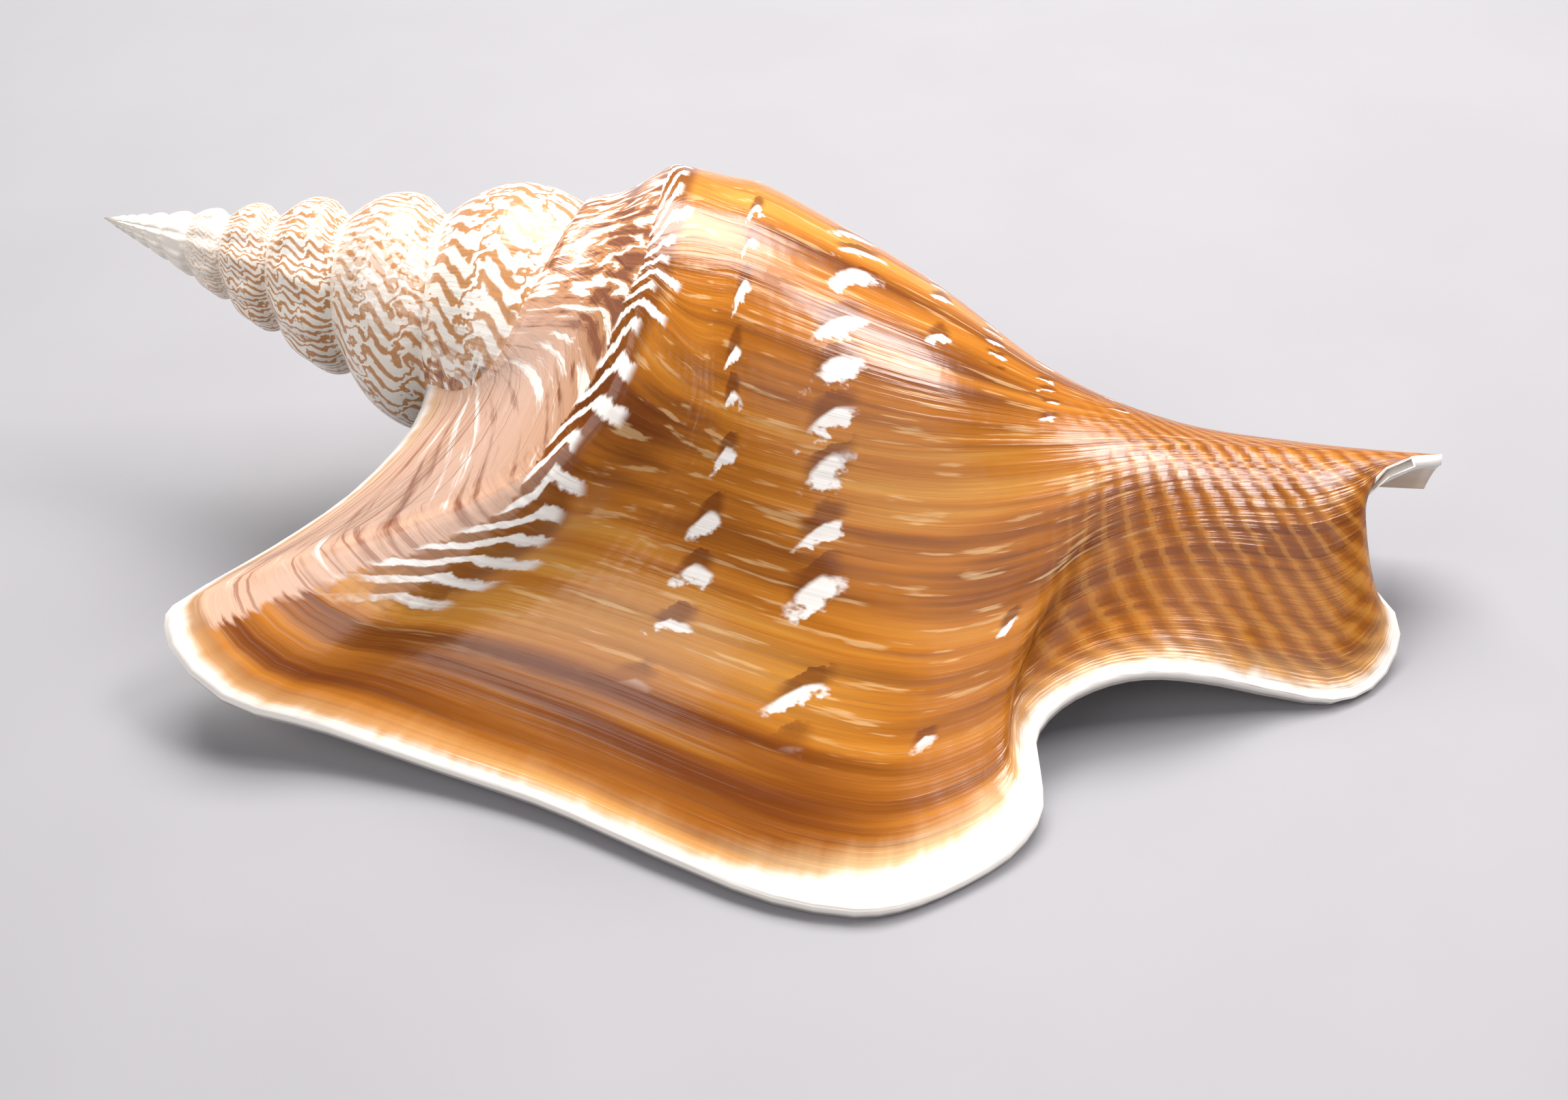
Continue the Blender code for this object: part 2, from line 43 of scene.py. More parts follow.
# The shell's form in millimetres, in its own frame: x from the apex to the canal,
# z out of the back, -y towards the lip. A place on it is a turn of growth (0 on the back
# of the last whorl) and a section position (0 suture, 2 shoulder, 4 next suture, 9 canal end).
fullTurn = 2.0 * math.pi
shoulderAt = 2.0
nextSuture = 4.0
canalEnd = 9.0
form = {
    "growth": 1.38,  # size of a whorl over the one before
    "length": 125.0,
    "sutureX": 46.6, "sutureR": 13.2,
    "lipTurn": 0.255,
    "bodyFrom": -1.15, "bodyOver": 0.75,
    "youngUntil": -6.0, "youngOver": 2.5,
    "sutureDepth": 0.09, "sutureDeepUntil": -1.3,
    "climbPull": (0.55, 0.02),  # how the place below the suture follows the climb
    "keelHeight": 0.55,  # ridge along the last whorl's shoulder
    "keelFrom": -0.38, "keelOver": 0.25,
    "keelReach": 0.85, "keelPower": 1.6,
    "fingerRidge": 0.7,  # the same ridge out on the wing's finger
    "fingerReach": 0.7, "fingerPower": 1.5,
    "fingerRise": 0.4, "fingerFall": 0.35,
    "callusTurn": -0.52,  # thickening on the underside of the body
    "callusOver": 0.24, "callusHeight": 1.3,
    "callusPlace": 3.0, "callusReach": 2.8,
    "lapHeight": 0.42,  # step where the last whorl's edge laps the one before
    "lapFrom": -0.95, "lapOver": 0.3,
    "lapPlace": 0.12, "lapReach": 0.9,
    "bendFrom": 82.0,  # the canal bends to one side and up from here
    "bendY": 3.0, "bendZ": 4.5,
    "ribCount": 12, "ribHeight": 0.035,
    "ribFadeFrom": -3.2, "ribFadeTo": -1.8,
    "wall": 1.6, "lipWall": 1.1,
    "lipOver": 0.0625,  # turns over which the wall thins towards the lip
    "sutureThin": 0.25,  # share of the wall left at the suture
    "sutureThinOver": 1.2,
    "canalThinning": 0.4,
    "canalThinFrom": 7.8, "canalThinOver": 0.6,
    "skinSmoothing": 60,  # rounds of smoothing for the way the wall is offset
    "cornerGap": 0.12, "cornerWay": (-0.4, 0.0, -0.9),
    "wayStep": 0.002,  # a short turn back, to find where the tube heads
    "crossings": 120,
    "rows": 192,  # rows of facets in a turn
    "turns": 11, "apexX": 0.3,
    "stretchTurn": 0.4167,  # the last stretch of growth, where the wing flares
    "splitOver": 0.3, "hollowTurn": 0.5208,
    "hollowBackFrom": 6.0,  # from here down the base the hollow reaches further back
    "hollowBackOver": 2.6,
    "baseEase": 2.5,
    "farFromLip": 60.0,  # stands for the distance to the lip before the last stretch
    "restingDown": (0.18416, 0.06017, -0.98105),
    "wornHeight": 0.30,
}

# How far the last suture climbs towards the apex: turn, millimetres
sutureClimb = np.array([
    [-0.10, 0.0], [0.00, 0.5], [0.13, 3.2], [0.20, 6.2], [0.23, 9.2], [0.255, 13.2]])

# Radius over the suture's radius at positions 0 to 4, and how far along the whorl those are
youngBulge = np.array([1.0, 1.19, 1.32, 1.405, 1.38])
spireBulge = np.array([1.0, 1.25, 1.42, 1.45, 1.38])
bodyBulge = np.array([1.0, 1.16, 1.38, 1.44, 1.42])
spireAlong = np.array([0.0, 0.25, 0.5, 0.75, 1.0])
bodyAlong = np.array([0.0, 0.20, 0.42, 0.72, 1.0])

# Positions 5 to 9: distance from the apex, radius, growth of the radius in a turn
baseOutline = np.array([
    [79.0, 14.7, 1.75], [91.0, 9.6, 2.3], [102.0, 7.0, 2.6], [113.0, 6.0, 1.25], [125.0, 5.4, 1.0]])

# The lip's free edge: section position, x, y, z, and the way the edge points
lipEdge = np.array([
    [0.35, 37.6, -14.2, -2.2, -0.5, -0.1, -0.85],
    [0.9, 34.4, -20.3, -6.8, -0.7, -0.15, -0.7],
    [1.4, 28.6, -25.0, -11.8, -0.75, -0.35, -0.5],
    [1.8, 23.3, -29.3, -15.5, -0.72, -0.58, -0.36],
    [2.0, 22.0, -31.3, -16.6, -0.7, -0.62, -0.34],
    [2.2, 24.0, -34.4, -17.4, -0.66, -0.67, -0.32],
    [2.45, 29.5, -37.3, -17.9, -0.58, -0.74, -0.3],
    [2.9, 39.0, -37.4, -18.1, -0.36, -0.88, -0.3],
    [3.4, 49.5, -38.3, -17.7, -0.14, -0.94, -0.3],
    [3.9, 60.0, -39.9, -16.5, 0.0, -0.95, -0.3],
    [4.4, 71.0, -43.0, -14.9, 0.0, -0.95, -0.3],
    [4.9, 81.0, -45.2, -13.4, 0.1, -0.95, -0.3],
    [5.3, 88.5, -44.5, -12.2, 0.3, -0.9, -0.25],
    [5.6, 93.3, -41.2, -11.3, 0.55, -0.8, -0.2],
    [5.85, 97.4, -36.5, -10.0, 0.8, -0.6, -0.1],
    [6.05, 98.8, -32.8, -8.9, 0.95, -0.3, 0.0],
    [6.3, 97.9, -28.8, -7.8, 0.9, -0.1, 0.1],
    [6.5, 96.9, -26.4, -6.5, 0.8, -0.3, 0.1],
    [6.75, 98.4, -23.4, -4.7, 0.5, -0.8, 0.1],
    [7.0, 101.7, -21.0, -3.1, 0.3, -0.95, 0.0],
    [7.25, 105.5, -19.3, -2.5, 0.1, -1.0, -0.1],
    [7.5, 110.5, -17.4, -3.1, 0.0, -0.95, -0.25],
    [7.75, 116.0, -15.6, -4.2, 0.1, -0.95, -0.3],
    [7.95, 121.0, -14.2, -4.5, 0.5, -0.8, -0.3],
    [8.1, 123.7, -11.8, -4.0, 0.85, -0.5, -0.3],
    [8.25, 125.1, -8.3, -2.8, 0.95, 0.0, -0.3],
    [8.4, 124.6, -5.6, -0.9, 0.95, 0.2, -0.1],
    [8.55, 121.0, -3.9, 1.2, 1.0, 0.0, 0.0],
    [8.7, 118.6, -1.6, 3.2, 1.0, 0.0, 0.0],
    [8.8, 118.7, 0.0, 5.2, 1.0, 0.0, 0.0],
    [8.9, 120.0, 1.8, 8.2, 1.0, 0.0, 0.1],
    [9.0, 122.0, 2.6, 10.0, 1.0, 0.0, 0.1]])

# Where the wing leaves the spiral: position, turn, pull at the start and at the edge, share of rows
flareTable = np.array([
    [0.0, 0.17, 0.9, 0.9, 0.80], [1.0, 0.14, 1.0, 0.9, 0.68], [2.0, 0.12, 1.2, 1.1, 0.52],
    [3.0, 0.15, 0.9, 1.0, 0.45], [4.0, 0.165, 0.9, 1.0, 0.45], [5.0, 0.16, 0.9, 0.9, 0.45],
    [6.0, 0.12, 1.0, 0.8, 0.45], [7.0, 0.05, 1.0, 0.8, 0.45], [8.0, -0.02, 1.0, 0.7, 0.45],
    [9.0, -0.10, 0.9, 0.7, 0.45]])

# Columns down a whorl and down the base, as section positions
stripPlaces = np.r_[0.0, 0.05, 0.12, 0.22, 0.38, 0.56, 0.74, np.linspace(0.92, 1.7, 6), 1.82, 1.92,
                    2.0, 2.08, 2.18, np.linspace(2.32, 4.0, 12)]
basePlaces = np.r_[np.linspace(4.0, 5.2, 8), np.linspace(5.3, 7.0, 20), np.linspace(7.1, 9.0, 24)]

# How the two maps hold a place on the shell: value / scale + shift
mapScale = {
    "Grown": (100.0, 10.0),  # millimetres grown, 0 at the lip and negative before it
    "Section": (10.0, 0.0),
    "Turn": (20.0, 0.8),
    "ToLip": (100.0, 0.0),  # millimetres to the lip's edge
}
mapLabels = {"growth": ("Grown", "Section"), "turn": ("Turn", "ToLip")}
def smooth(x):
    x = np.clip(x, 0.0, 1.0)
    return x * x * (3.0 - 2.0 * x)


def blend(start, startWay, end, endWay, t):
    return ((2 * t**3 - 3 * t**2 + 1) * start + (t**3 - 2 * t**2 + t) * startWay
            + (3 * t**2 - 2 * t**3) * end + (t**3 - t**2) * endWay)


def curve(knots, points, at):
    gap = np.diff(knots)
    slope = np.diff(points, axis=0) / gap[:, None]
    tangent = np.empty_like(points)
    tangent[0] = slope[0]
    tangent[-1] = slope[-1]
    weight = (gap[1:] + gap[:-1])[:, None]
    tangent[1:-1] = (slope[:-1] * gap[1:, None] + slope[1:] * gap[:-1, None]) / weight
    i = np.clip(np.searchsorted(knots, at, side="right") - 1, 0, len(knots) - 2)
    t = ((at - knots[i]) / gap[i])[..., None]
    h = gap[i][..., None]
    return blend(points[i], h * tangent[i], points[i + 1], h * tangent[i + 1], t)


def sutureX(turn):
    climb = 0.0
    if turn > sutureClimb[0, 0]:
        climb = curve(sutureClimb[:, 0], sutureClimb[:, 1:], np.array(turn))[0]
    return form["sutureX"] * form["growth"]**turn - climb


def bodyShare(turn):
    # 0 on the spire, 1 on the body
    return smooth((turn - form["bodyFrom"]) / form["bodyOver"])


def sutureWaist(turn):
    deep = smooth((turn - form["youngUntil"]) / form["youngOver"])
    return 1.0 - form["sutureDepth"] * deep * (1.0 - smooth(turn - form["sutureDeepUntil"]))


@lru_cache(maxsize=None)
def profile(turn):
    # ten points of the whorl's outline as distance from the apex and radius
    growth = form["growth"]
    scale = growth**turn
    body = bodyShare(turn)
    young = 1.0 - smooth((turn - form["youngUntil"]) / form["youngOver"])
    along = (1.0 - body) * spireAlong + body * bodyAlong
    bulge = young * youngBulge + (1.0 - young) * spireBulge
    x = form["sutureX"] * scale * (1.0 + (growth - 1.0) * along)
    r = form["sutureR"] * scale * ((1.0 - body) * bulge + body * bodyBulge)
    r[0] *= sutureWaist(turn)
    r[4] *= sutureWaist(turn + 1.0)
    nextX = form["sutureX"] * growth
    share = (form["length"] - baseOutline[:, 0]) / (form["length"] - nextX)
    baseX = baseOutline[:, 0] + nextX * (scale - 1.0) * share
    baseR = baseOutline[:, 1] * baseOutline[:, 2]**turn
    points = np.c_[np.r_[x, baseX], np.r_[r, baseR]]
    if turn > sutureClimb[0, 0]:
        climbed = sutureX(turn) - points[0, 0]
        points[0] = section(turn - 1.0, np.array([crossing(turn - 1.0)]))[0]
        points[1] += np.array(form["climbPull"]) * climbed
    return points


def section(turn, s):
    points = profile(turn)
    outline = curve(np.arange(10), points, s)
    body = bodyShare(turn)
    if body < 1.0:
        # on the spire the whorl runs into its suture without a base
        points = points.copy()
        points[5] = 2.0 * points[4] - points[3]
        spire = curve(np.arange(10), points, s)
        mixed = (1.0 - body) * spire + body * outline
        outline = np.where(s[:, None] < nextSuture, mixed, outline)
    return outline


def findCrossing(turn):
    low = 0.0
    high = 5.0
    for step in range(26):
        middle = 0.5 * (low + high)
        if section(turn, np.array([middle]))[0, 0] < sutureX(turn + 1.0):
            low = middle
        else:
            high = middle
    return 0.5 * (low + high)


crossingTurns = np.linspace(sutureClimb[0, 0] - 1.0, form["lipTurn"] - 1.0, form["crossings"])
crossingPlaces = np.array([findCrossing(turn) for turn in crossingTurns])


def crossing(turn):
    # section position at which the next whorl covers this one
    if turn <= crossingTurns[0]:
        return nextSuture
    return float(np.interp(turn, crossingTurns, crossingPlaces))


def callus(turn, s):
    # thickening on the underside of the body
    around = smooth(1.0 - abs(turn - form["callusTurn"]) / form["callusOver"])
    down = smooth(1.0 - np.abs(s - form["callusPlace"]) / form["callusReach"])
    return form["callusHeight"] * around * down


def ribs(turn, s):
    # low ribs along the axis on the early whorls
    over = form["ribFadeTo"] - form["ribFadeFrom"]
    fade = 1.0 - smooth((turn - form["ribFadeFrom"]) / over)
    wave = math.cos(fullTurn * form["ribCount"] * turn)
    return 1.0 + form["ribHeight"] * fade * wave * np.clip(np.sin(math.pi * s / nextSuture), 0.0, 1.0)


def keel(turn, s):
    # the angular shoulder of the last whorl
    strength = smooth((turn - form["keelFrom"]) / form["keelOver"])
    ridge = np.clip(1.0 - np.abs(s - shoulderAt) / form["keelReach"], 0.0, 1.0)**form["keelPower"]
    return form["keelHeight"] * strength * ridge


def lap(turn, s):
    # the raised edge of the last whorl along its suture
    strength = smooth((turn - form["lapFrom"]) / form["lapOver"])
    place = form["lapPlace"]
    rise = smooth(s / place)
    fall = 1.0 - smooth((s - place) / form["lapReach"])
    return form["lapHeight"] * strength * rise * fall


def spiral(turn, s):
    # points of the coiled tube at one turn
    outline = section(turn, s)
    x = outline[:, 0]
    r = outline[:, 1] * ribs(turn, s) + callus(turn, s) + keel(turn, s) + lap(turn, s)
    bent = (x - form["bendFrom"]) / (form["length"] - form["bendFrom"])
    along = np.clip(bent, 0.0, 1.0)**2
    angle = fullTurn * turn
    y = -r * math.sin(angle) + form["bendY"] * along
    z = r * math.cos(angle) + form["bendZ"] * along
    return np.stack([x, y, z], -1)


def spiralPoint(turn, s):
    return spiral(turn, np.array([s]))[0]


def lastWhorl(s, start, shares):
    # rows of points from the turn called start out to the lip's edge
    lipTurn = form["lipTurn"]
    flare = curve(flareTable[:, 0], flareTable[:, 1:], s)
    corner = spiralPoint(lipTurn - 1.0, crossing(lipTurn - 1.0))
    knots = np.r_[0.0, lipEdge[:, 0]]
    table = np.vstack([np.r_[corner, form["cornerWay"]], lipEdge[:, 1:]])
    edge = curve(knots, table, s)
    edgeWay = edge[:, 3:] / np.linalg.norm(edge[:, 3:], axis=1, keepdims=True)
    edge = edge[:, :3]
    leave = np.array([spiralPoint(t, p) for t, p in zip(flare[:, 0], s)])
    before = np.array([spiralPoint(t - form["wayStep"], p) for t, p in zip(flare[:, 0], s)])
    way = (leave - before) / np.linalg.norm(leave - before, axis=1, keepdims=True)
    chord = np.linalg.norm(edge - leave, axis=1, keepdims=True)
    way = way * chord * flare[:, 1:2]
    edgeWay = edgeWay * chord * flare[:, 2:3]
    ridge = np.clip(1.0 - np.abs(s - shoulderAt) / form["fingerReach"], 0.0, 1.0)**form["fingerPower"]
    hold = np.clip(1.0 - s, 0.0, 1.0)**2
    rows = []
    for share in shares:
        early = share / flare[:, 3]
        turns = np.round(start + (flare[:, 0] - start) * np.minimum(early, 1.0), 4)
        wound = np.array([spiralPoint(t, p) for t, p in zip(turns, s)])
        late = np.clip((share - flare[:, 3]) / (1.0 - flare[:, 3]), 0.0, 1.0)
        flared = blend(leave, way, edge, edgeWay, late[:, None])
        row = np.where(late[:, None] > 0.0, flared, wound)
        rise = smooth(late / form["fingerRise"])
        fall = smooth((1.0 - late) / form["fingerFall"])
        row[:, 2] += form["fingerRidge"] * ridge * rise * fall
        # the upper end stays on the suture
        turn = start + (lipTurn - start) * share
        suture = spiralPoint(turn - 1.0, crossing(turn - 1.0))
        rows.append(row + hold[:, None] * (suture - row[0]))
    return np.array(rows)


def growShell():
    # the closed shell: points, facets, their sides, each point's place, and corners with another place
    perTurn = form["rows"]
    lipTurn = form["lipTurn"]
    lastRow = perTurn * form["turns"]
    stretchRows = int(round(perTurn * form["stretchTurn"]))
    hollowRows = int(round(perTurn * form["hollowTurn"]))
    cornerRow = lastRow - perTurn
    stretchRow = lastRow - stretchRows
    hollowRow = lastRow - hollowRows
    places = np.r_[stripPlaces, basePlaces[1:]]
    stripCount = len(stripPlaces)
    points = []
    coords = []  # of each point: millimetres grown, section position, turn, distance to the lip
    faces = []
    sides = []  # material of each facet: 0 outside, 1 inside

    def add(point, coord):
        points.append(point)
        coords.append(coord)
        return len(points) - 1

    def rowTurn(row):
        return round(lipTurn - (lastRow - row) / perTurn, 9)

    def stripSplit(row):
        if row <= cornerRow:
            return crossing(rowTurn(row))
        ease = smooth((row - cornerRow) / (perTurn * form["splitOver"]))
        corner = crossing(rowTurn(cornerRow))
        return corner + (nextSuture - corner) * ease

    def firstRow(s):
        back = smooth((s - form["hollowBackFrom"]) / form["hollowBackOver"])
        return int(round(hollowRow - perTurn * (1.0 - back)))

    shares = np.arange(stretchRows + 1) / stretchRows
    stretch = lastWhorl(places, rowTurn(stretchRow), shares)
    middle = int(np.argmin(np.abs(places - nextSuture)))
    steps = np.linalg.norm(np.diff(stretch, axis=0), axis=2)
    edgeAway = np.vstack([np.cumsum(steps[::-1], axis=0)[::-1], np.zeros((1, len(places)))])
    toLip = edgeAway[:, middle]

    def growthLength(row):
        # millimetres grown along the belly, 0 at the lip and negative before it
        if row >= stretchRow:
            return -toLip[row - stretchRow]
        turn = rowTurn(row)
        reach = fullTurn * form["sutureR"] * bodyBulge[4] / math.log(form["growth"])
        return -toLip[0] - reach * (form["growth"]**rowTurn(stretchRow) - form["growth"]**turn)

    def away(row, column):
        return edgeAway[row - stretchRow][column] if row >= stretchRow else form["farFromLip"]

    def outline(row, columns, spots):
        # a row of the last stretch, or of the spiral before it
        if row >= stretchRow:
            return stretch[row - stretchRow][columns]
        return spiral(rowTurn(row), spots)

    def addFaces(quads, side):
        for quad in quads:
            if len(set(quad)) > 2:
                faces.append(quad)
                sides.append(side)

    def bridge(low, high, side):
        addFaces([(low[k], low[k + 1], high[k + 1], high[k]) for k in range(len(low) - 1)], side)

    # the outer skin from suture to suture, each whorl joined to the one before
    strip = []
    for row in range(lastRow + 1):
        split = stripSplit(row)
        spots = stripPlaces / nextSuture * split
        grown = growthLength(row)
        ids = []
        for k, point in enumerate(outline(row, slice(stripCount), spots)):
            if k == 0 and row >= perTurn:
                ids.append(strip[row - perTurn][-1])
            else:
                ids.append(add(point, (grown, spots[k], rowTurn(row), away(row, k))))
        strip.append(ids)
    fixes = {}
    for row in range(lastRow):
        # a suture's points carry the place on the whorl before, so the first facet keeps its own
        fixes[len(faces)] = [(growthLength(r), 0.0, rowTurn(r), away(r, 0)) for r in (row, row + 1)]
        bridge(strip[row], strip[row + 1], 0)

    tip = (growthLength(0), shoulderAt, rowTurn(0), form["farFromLip"])
    apex = add(np.array([form["apexX"], 0.0, 0.0]), tip)
    rim = [strip[row][0] for row in range(perTurn + 1)] + strip[0][-2::-1]
    addFaces([(rim[k], rim[k + 1], apex) for k in range(len(rim) - 1)], 0)

    # the inner skin, offset from the outer one by the wall
    backTurns = [rowTurn(row) for row in range(hollowRow - 1, stretchRow)]
    skin = np.concatenate([np.array([spiral(turn, places) for turn in backTurns]), stretch])
    normal = np.cross(np.gradient(skin, axis=0), np.gradient(skin, places, axis=1))
    normal /= np.linalg.norm(normal, axis=2, keepdims=True)
    for step in range(form["skinSmoothing"]):
        normal[:, 1:-1] = (normal[:, :-2] + 2.0 * normal[:, 1:-1] + normal[:, 2:]) / 4.0
        normal /= np.linalg.norm(normal, axis=2, keepdims=True)
    inner = []
    lipRows = perTurn * form["lipOver"]
    nearSuture = smooth(places / form["sutureThinOver"])
    nearCanal = smooth((places - form["canalThinFrom"]) / form["canalThinOver"])
    thin = form["sutureThin"] + (1.0 - form["sutureThin"]) * nearSuture
    thin = thin * (1.0 - form["canalThinning"] * nearCanal)
    for row in range(hollowRow, lastRow + 1):
        at = row - hollowRow + 1
        nearLip = smooth(1.0 - (lastRow - row) / lipRows)
        wall = form["wall"] + (form["lipWall"] - form["wall"]) * nearLip
        line = skin[at] - normal[at] * (wall * thin)[:, None]
        turn = rowTurn(row) - 1.0
        corner = spiralPoint(turn, crossing(turn) + form["cornerGap"])
        hold = np.clip(1.0 - places, 0.0, 1.0)**2
        line = line + hold[:, None] * (corner - line[0])
        inner.append([add(point, (growthLength(row), places[k], rowTurn(row), away(row, k)))
                      for k, point in enumerate(line)])
    for low, high in zip(inner, inner[1:]):
        bridge(low, high, 1)

    # the base, from the next suture down to the canal
    base = {}
    for row in range(hollowRow - perTurn, lastRow + 1):
        inside = row <= cornerRow
        split = stripSplit(row) + (form["cornerGap"] if inside else 0.0)
        squeezed = split + (canalEnd - split) * (basePlaces - nextSuture) / (canalEnd - nextSuture)
        near = smooth((basePlaces - nextSuture) / form["baseEase"])
        rowPlaces = squeezed * (1.0 - near) + basePlaces * near
        line = outline(row, slice(stripCount - 1, None), rowPlaces)
        for k in range(len(basePlaces)):
            if row < firstRow(basePlaces[k]):
                continue
            if k == 0:
                base[row, k] = inner[row - cornerRow + hollowRows][0] if inside else strip[row][-1]
            else:
                spot = (growthLength(row), rowPlaces[k], rowTurn(row), away(row, stripCount - 1 + k))
                base[row, k] = add(line[k], spot)
    for row, k in list(base):
        cell = [(row, k), (row, k + 1), (row + 1, k + 1), (row + 1, k)]
        if all(corner in base for corner in cell):
            addFaces([tuple(base[corner] for corner in cell)], 0 if row >= cornerRow else 1)
    addFaces([(strip[lastRow][0], strip[cornerRow + 1][-1], inner[-1][0])], 1)

    # the lip's edge and the canal's edge join the skins
    outer = strip[lastRow] + [base[lastRow, k] for k in range(1, len(basePlaces))]
    bridge(outer, inner[-1], 1)
    last = len(basePlaces) - 1
    for row in range(hollowRow, lastRow):
        at = row - hollowRow
        addFaces([(base[row, last], base[row + 1, last], inner[at + 1][-1], inner[at][-1])], 1)

    # the hollow's deep end
    edge = []
    for k in range(len(basePlaces)):
        first = firstRow(basePlaces[k])
        edge.append((basePlaces[k], base[first, k]))
        if k < last:
            then = firstRow(basePlaces[k + 1])
            reach = basePlaces[k + 1] - basePlaces[k]
            for row in range(first + 1, then + 1):
                between = basePlaces[k] + reach * (row - first) / (then - first)
                edge.append((between, base[row, k]))
    end = [(places[k], inner[0][k]) for k in range(len(places))]
    i = 0
    j = 0
    while i < len(edge) - 1 or j < len(end) - 1:
        stepEdge = j == len(end) - 1
        if not stepEdge and i < len(edge) - 1:
            stepEdge = edge[i + 1][0] + edge[i][0] <= end[j + 1][0] + end[j][0]
        if stepEdge:
            addFaces([(edge[i][1], edge[i + 1][1], end[j][1])], 1)
            i += 1
        else:
            addFaces([(edge[i][1], end[j + 1][1], end[j][1])], 1)
            j += 1
    return np.array(points), faces, sides, np.array(coords), fixes


def settled(points):
    # onto the table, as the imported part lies
    down = Vector(form["restingDown"]).normalized()
    turn = down.rotation_difference(Vector((0.0, 0.0, -1.0))).to_matrix()
    ahead = turn @ Vector((1.0, 0.0, 0.0))
    turn = Matrix.Rotation(-math.atan2(ahead.y, ahead.x), 3, "Z") @ turn
    laid = points @ np.array(turn).T
    laid[:, 2] = np.maximum(laid[:, 2] - laid[:, 2].min() - form["wornHeight"], 0.0)
    laid[:, :2] -= 0.5 * (laid[:, :2].min(axis=0) + laid[:, :2].max(axis=0))
    return laid * 0.001


def makeShell():
    points, faces, sides, coords, fixes = growShell()
    laid = settled(points)
    mesh = bpy.data.meshes.new("conch")
    mesh.from_pydata(laid.tolist(), [], faces)
    mesh.polygons.foreach_set("material_index", sides)
    mesh.polygons.foreach_set("use_smooth", [True] * len(faces))
    corners = []
    for number, face in enumerate(faces):
        pair = fixes.get(number)
        for spot, vertex in enumerate(face):
            corners.append(pair[spot // 3] if pair and spot in (0, 3) else coords[vertex])
    scale, shift = np.array(list(mapScale.values())).T
    values = np.array(corners) / scale + shift
    for first, name in enumerate(mapLabels):
        layer = mesh.uv_layers.new(name=name)
        layer.data.foreach_set("uv", values[:, 2 * first:2 * first + 2].ravel())
    shell = bpy.data.objects.new("conchShell", mesh)
    scene.collection.objects.link(shell)
    bpy.context.view_layer.objects.active = shell
    shell.select_set(True)
    bpy.ops.object.mode_set(mode="EDIT")
    bpy.ops.mesh.select_all(action="SELECT")
    bpy.ops.mesh.normals_make_consistent(inside=False)
    bpy.ops.object.mode_set(mode="OBJECT")
    print("shell grown:", len(points), "points,", len(faces), "facets")
    return shell


class Net:
    # a node tree with short calls for the nodes used here

    def __init__(self, tree):
        self.tree = tree

    def join(self, source, socket):
        if isinstance(source, bpy.types.NodeSocket):
            self.tree.links.new(source, socket)
        elif socket.type == "RGBA" and len(source) == 3:
            socket.default_value = (*source, 1.0)
        else:
            socket.default_value = source

    def put(self, kind, values=None, **settings):
        # a node with its settings; values are numbers or sockets by the input's place or name
        node = self.tree.nodes.new("ShaderNode" + kind)
        for name, value in settings.items():
            setattr(node, name, value)
        for key, value in (values or {}).items():
            self.join(value, node.inputs[key])
        return node

    def takes(self, **values):
        # inputs of a node group, with the values they have when nothing is joined
        for label, value in values.items():
            socket = self.tree.interface.new_socket(label, in_out="INPUT", socket_type="NodeSocketFloat")
            socket.default_value = value
        return self.tree.nodes.new("NodeGroupInput").outputs

    def gives(self, *labels):
        # outputs of a node group
        for label in labels:
            self.tree.interface.new_socket(label, in_out="OUTPUT", socket_type="NodeSocketFloat")
        return self.tree.nodes.new("NodeGroupOutput").inputs

    def math(self, operation, *values):
        return self.put("Math", dict(enumerate(values)), operation=operation).outputs[0]

    def add(self, *values):
        return reduce(lambda a, b: self.math("ADD", a, b), values)

    def sub(self, a, b):
        return self.math("SUBTRACT", a, b)

    def mul(self, *values):
        return reduce(lambda a, b: self.math("MULTIPLY", a, b), values)

    def step(self, value, low, high, toLow=0.0, toHigh=1.0):
        # eased step from toLow at low to toHigh at high
        values = dict(enumerate((value, low, high, toLow, toHigh)))
        return self.put("MapRange", values, interpolation_type="SMOOTHSTEP").outputs[0]

    def between(self, value, low, high, soft):
        # 1 from low to high, with soft ends
        return self.mul(self.step(value, self.sub(low, soft), self.add(low, soft)),
                        self.step(value, self.sub(high, soft), self.add(high, soft), 1.0, 0.0))

    def clipped(self, value, low, high):
        return self.math("MINIMUM", self.math("MAXIMUM", value, low), high)

    def length(self, a, b):
        return self.math("SQRT", self.add(self.mul(a, a), self.mul(b, b)))

    def vector(self, *values):
        return self.put("CombineXYZ", dict(enumerate(values))).outputs[0]

    def noise(self, place, scale=1.0, detail=2.0, rough=0.5, warp=0.0):
        values = {"Vector": place, "Scale": scale, "Detail": detail, "Roughness": rough, "Distortion": warp}
        return self.put("TexNoise", values).outputs["Fac"]

    def streaks(self, grown, section, pattern, detail=3.0, rough=0.5, warp=0.0):
        # noise along the growth lines; a pattern is its scale each way and its place
        along, across, spot = pattern
        at = self.vector(self.mul(grown, along), self.mul(section, across), spot)
        return self.noise(at, 1.0, detail, rough, warp)

    def chance(self, value):
        return self.put("TexWhiteNoise", {"W": value}, noise_dimensions="1D").outputs["Value"]

    def mix(self, share, under, over):
        return self.put("Mix", {0: share, 6: under, 7: over}, data_type="RGBA").outputs[2]

    def group(self, tree, **values):
        return self.put("Group", values, node_tree=tree).outputs


def newGroup(name):
    return Net(bpy.data.node_groups.new(name, "ShaderNodeTree"))


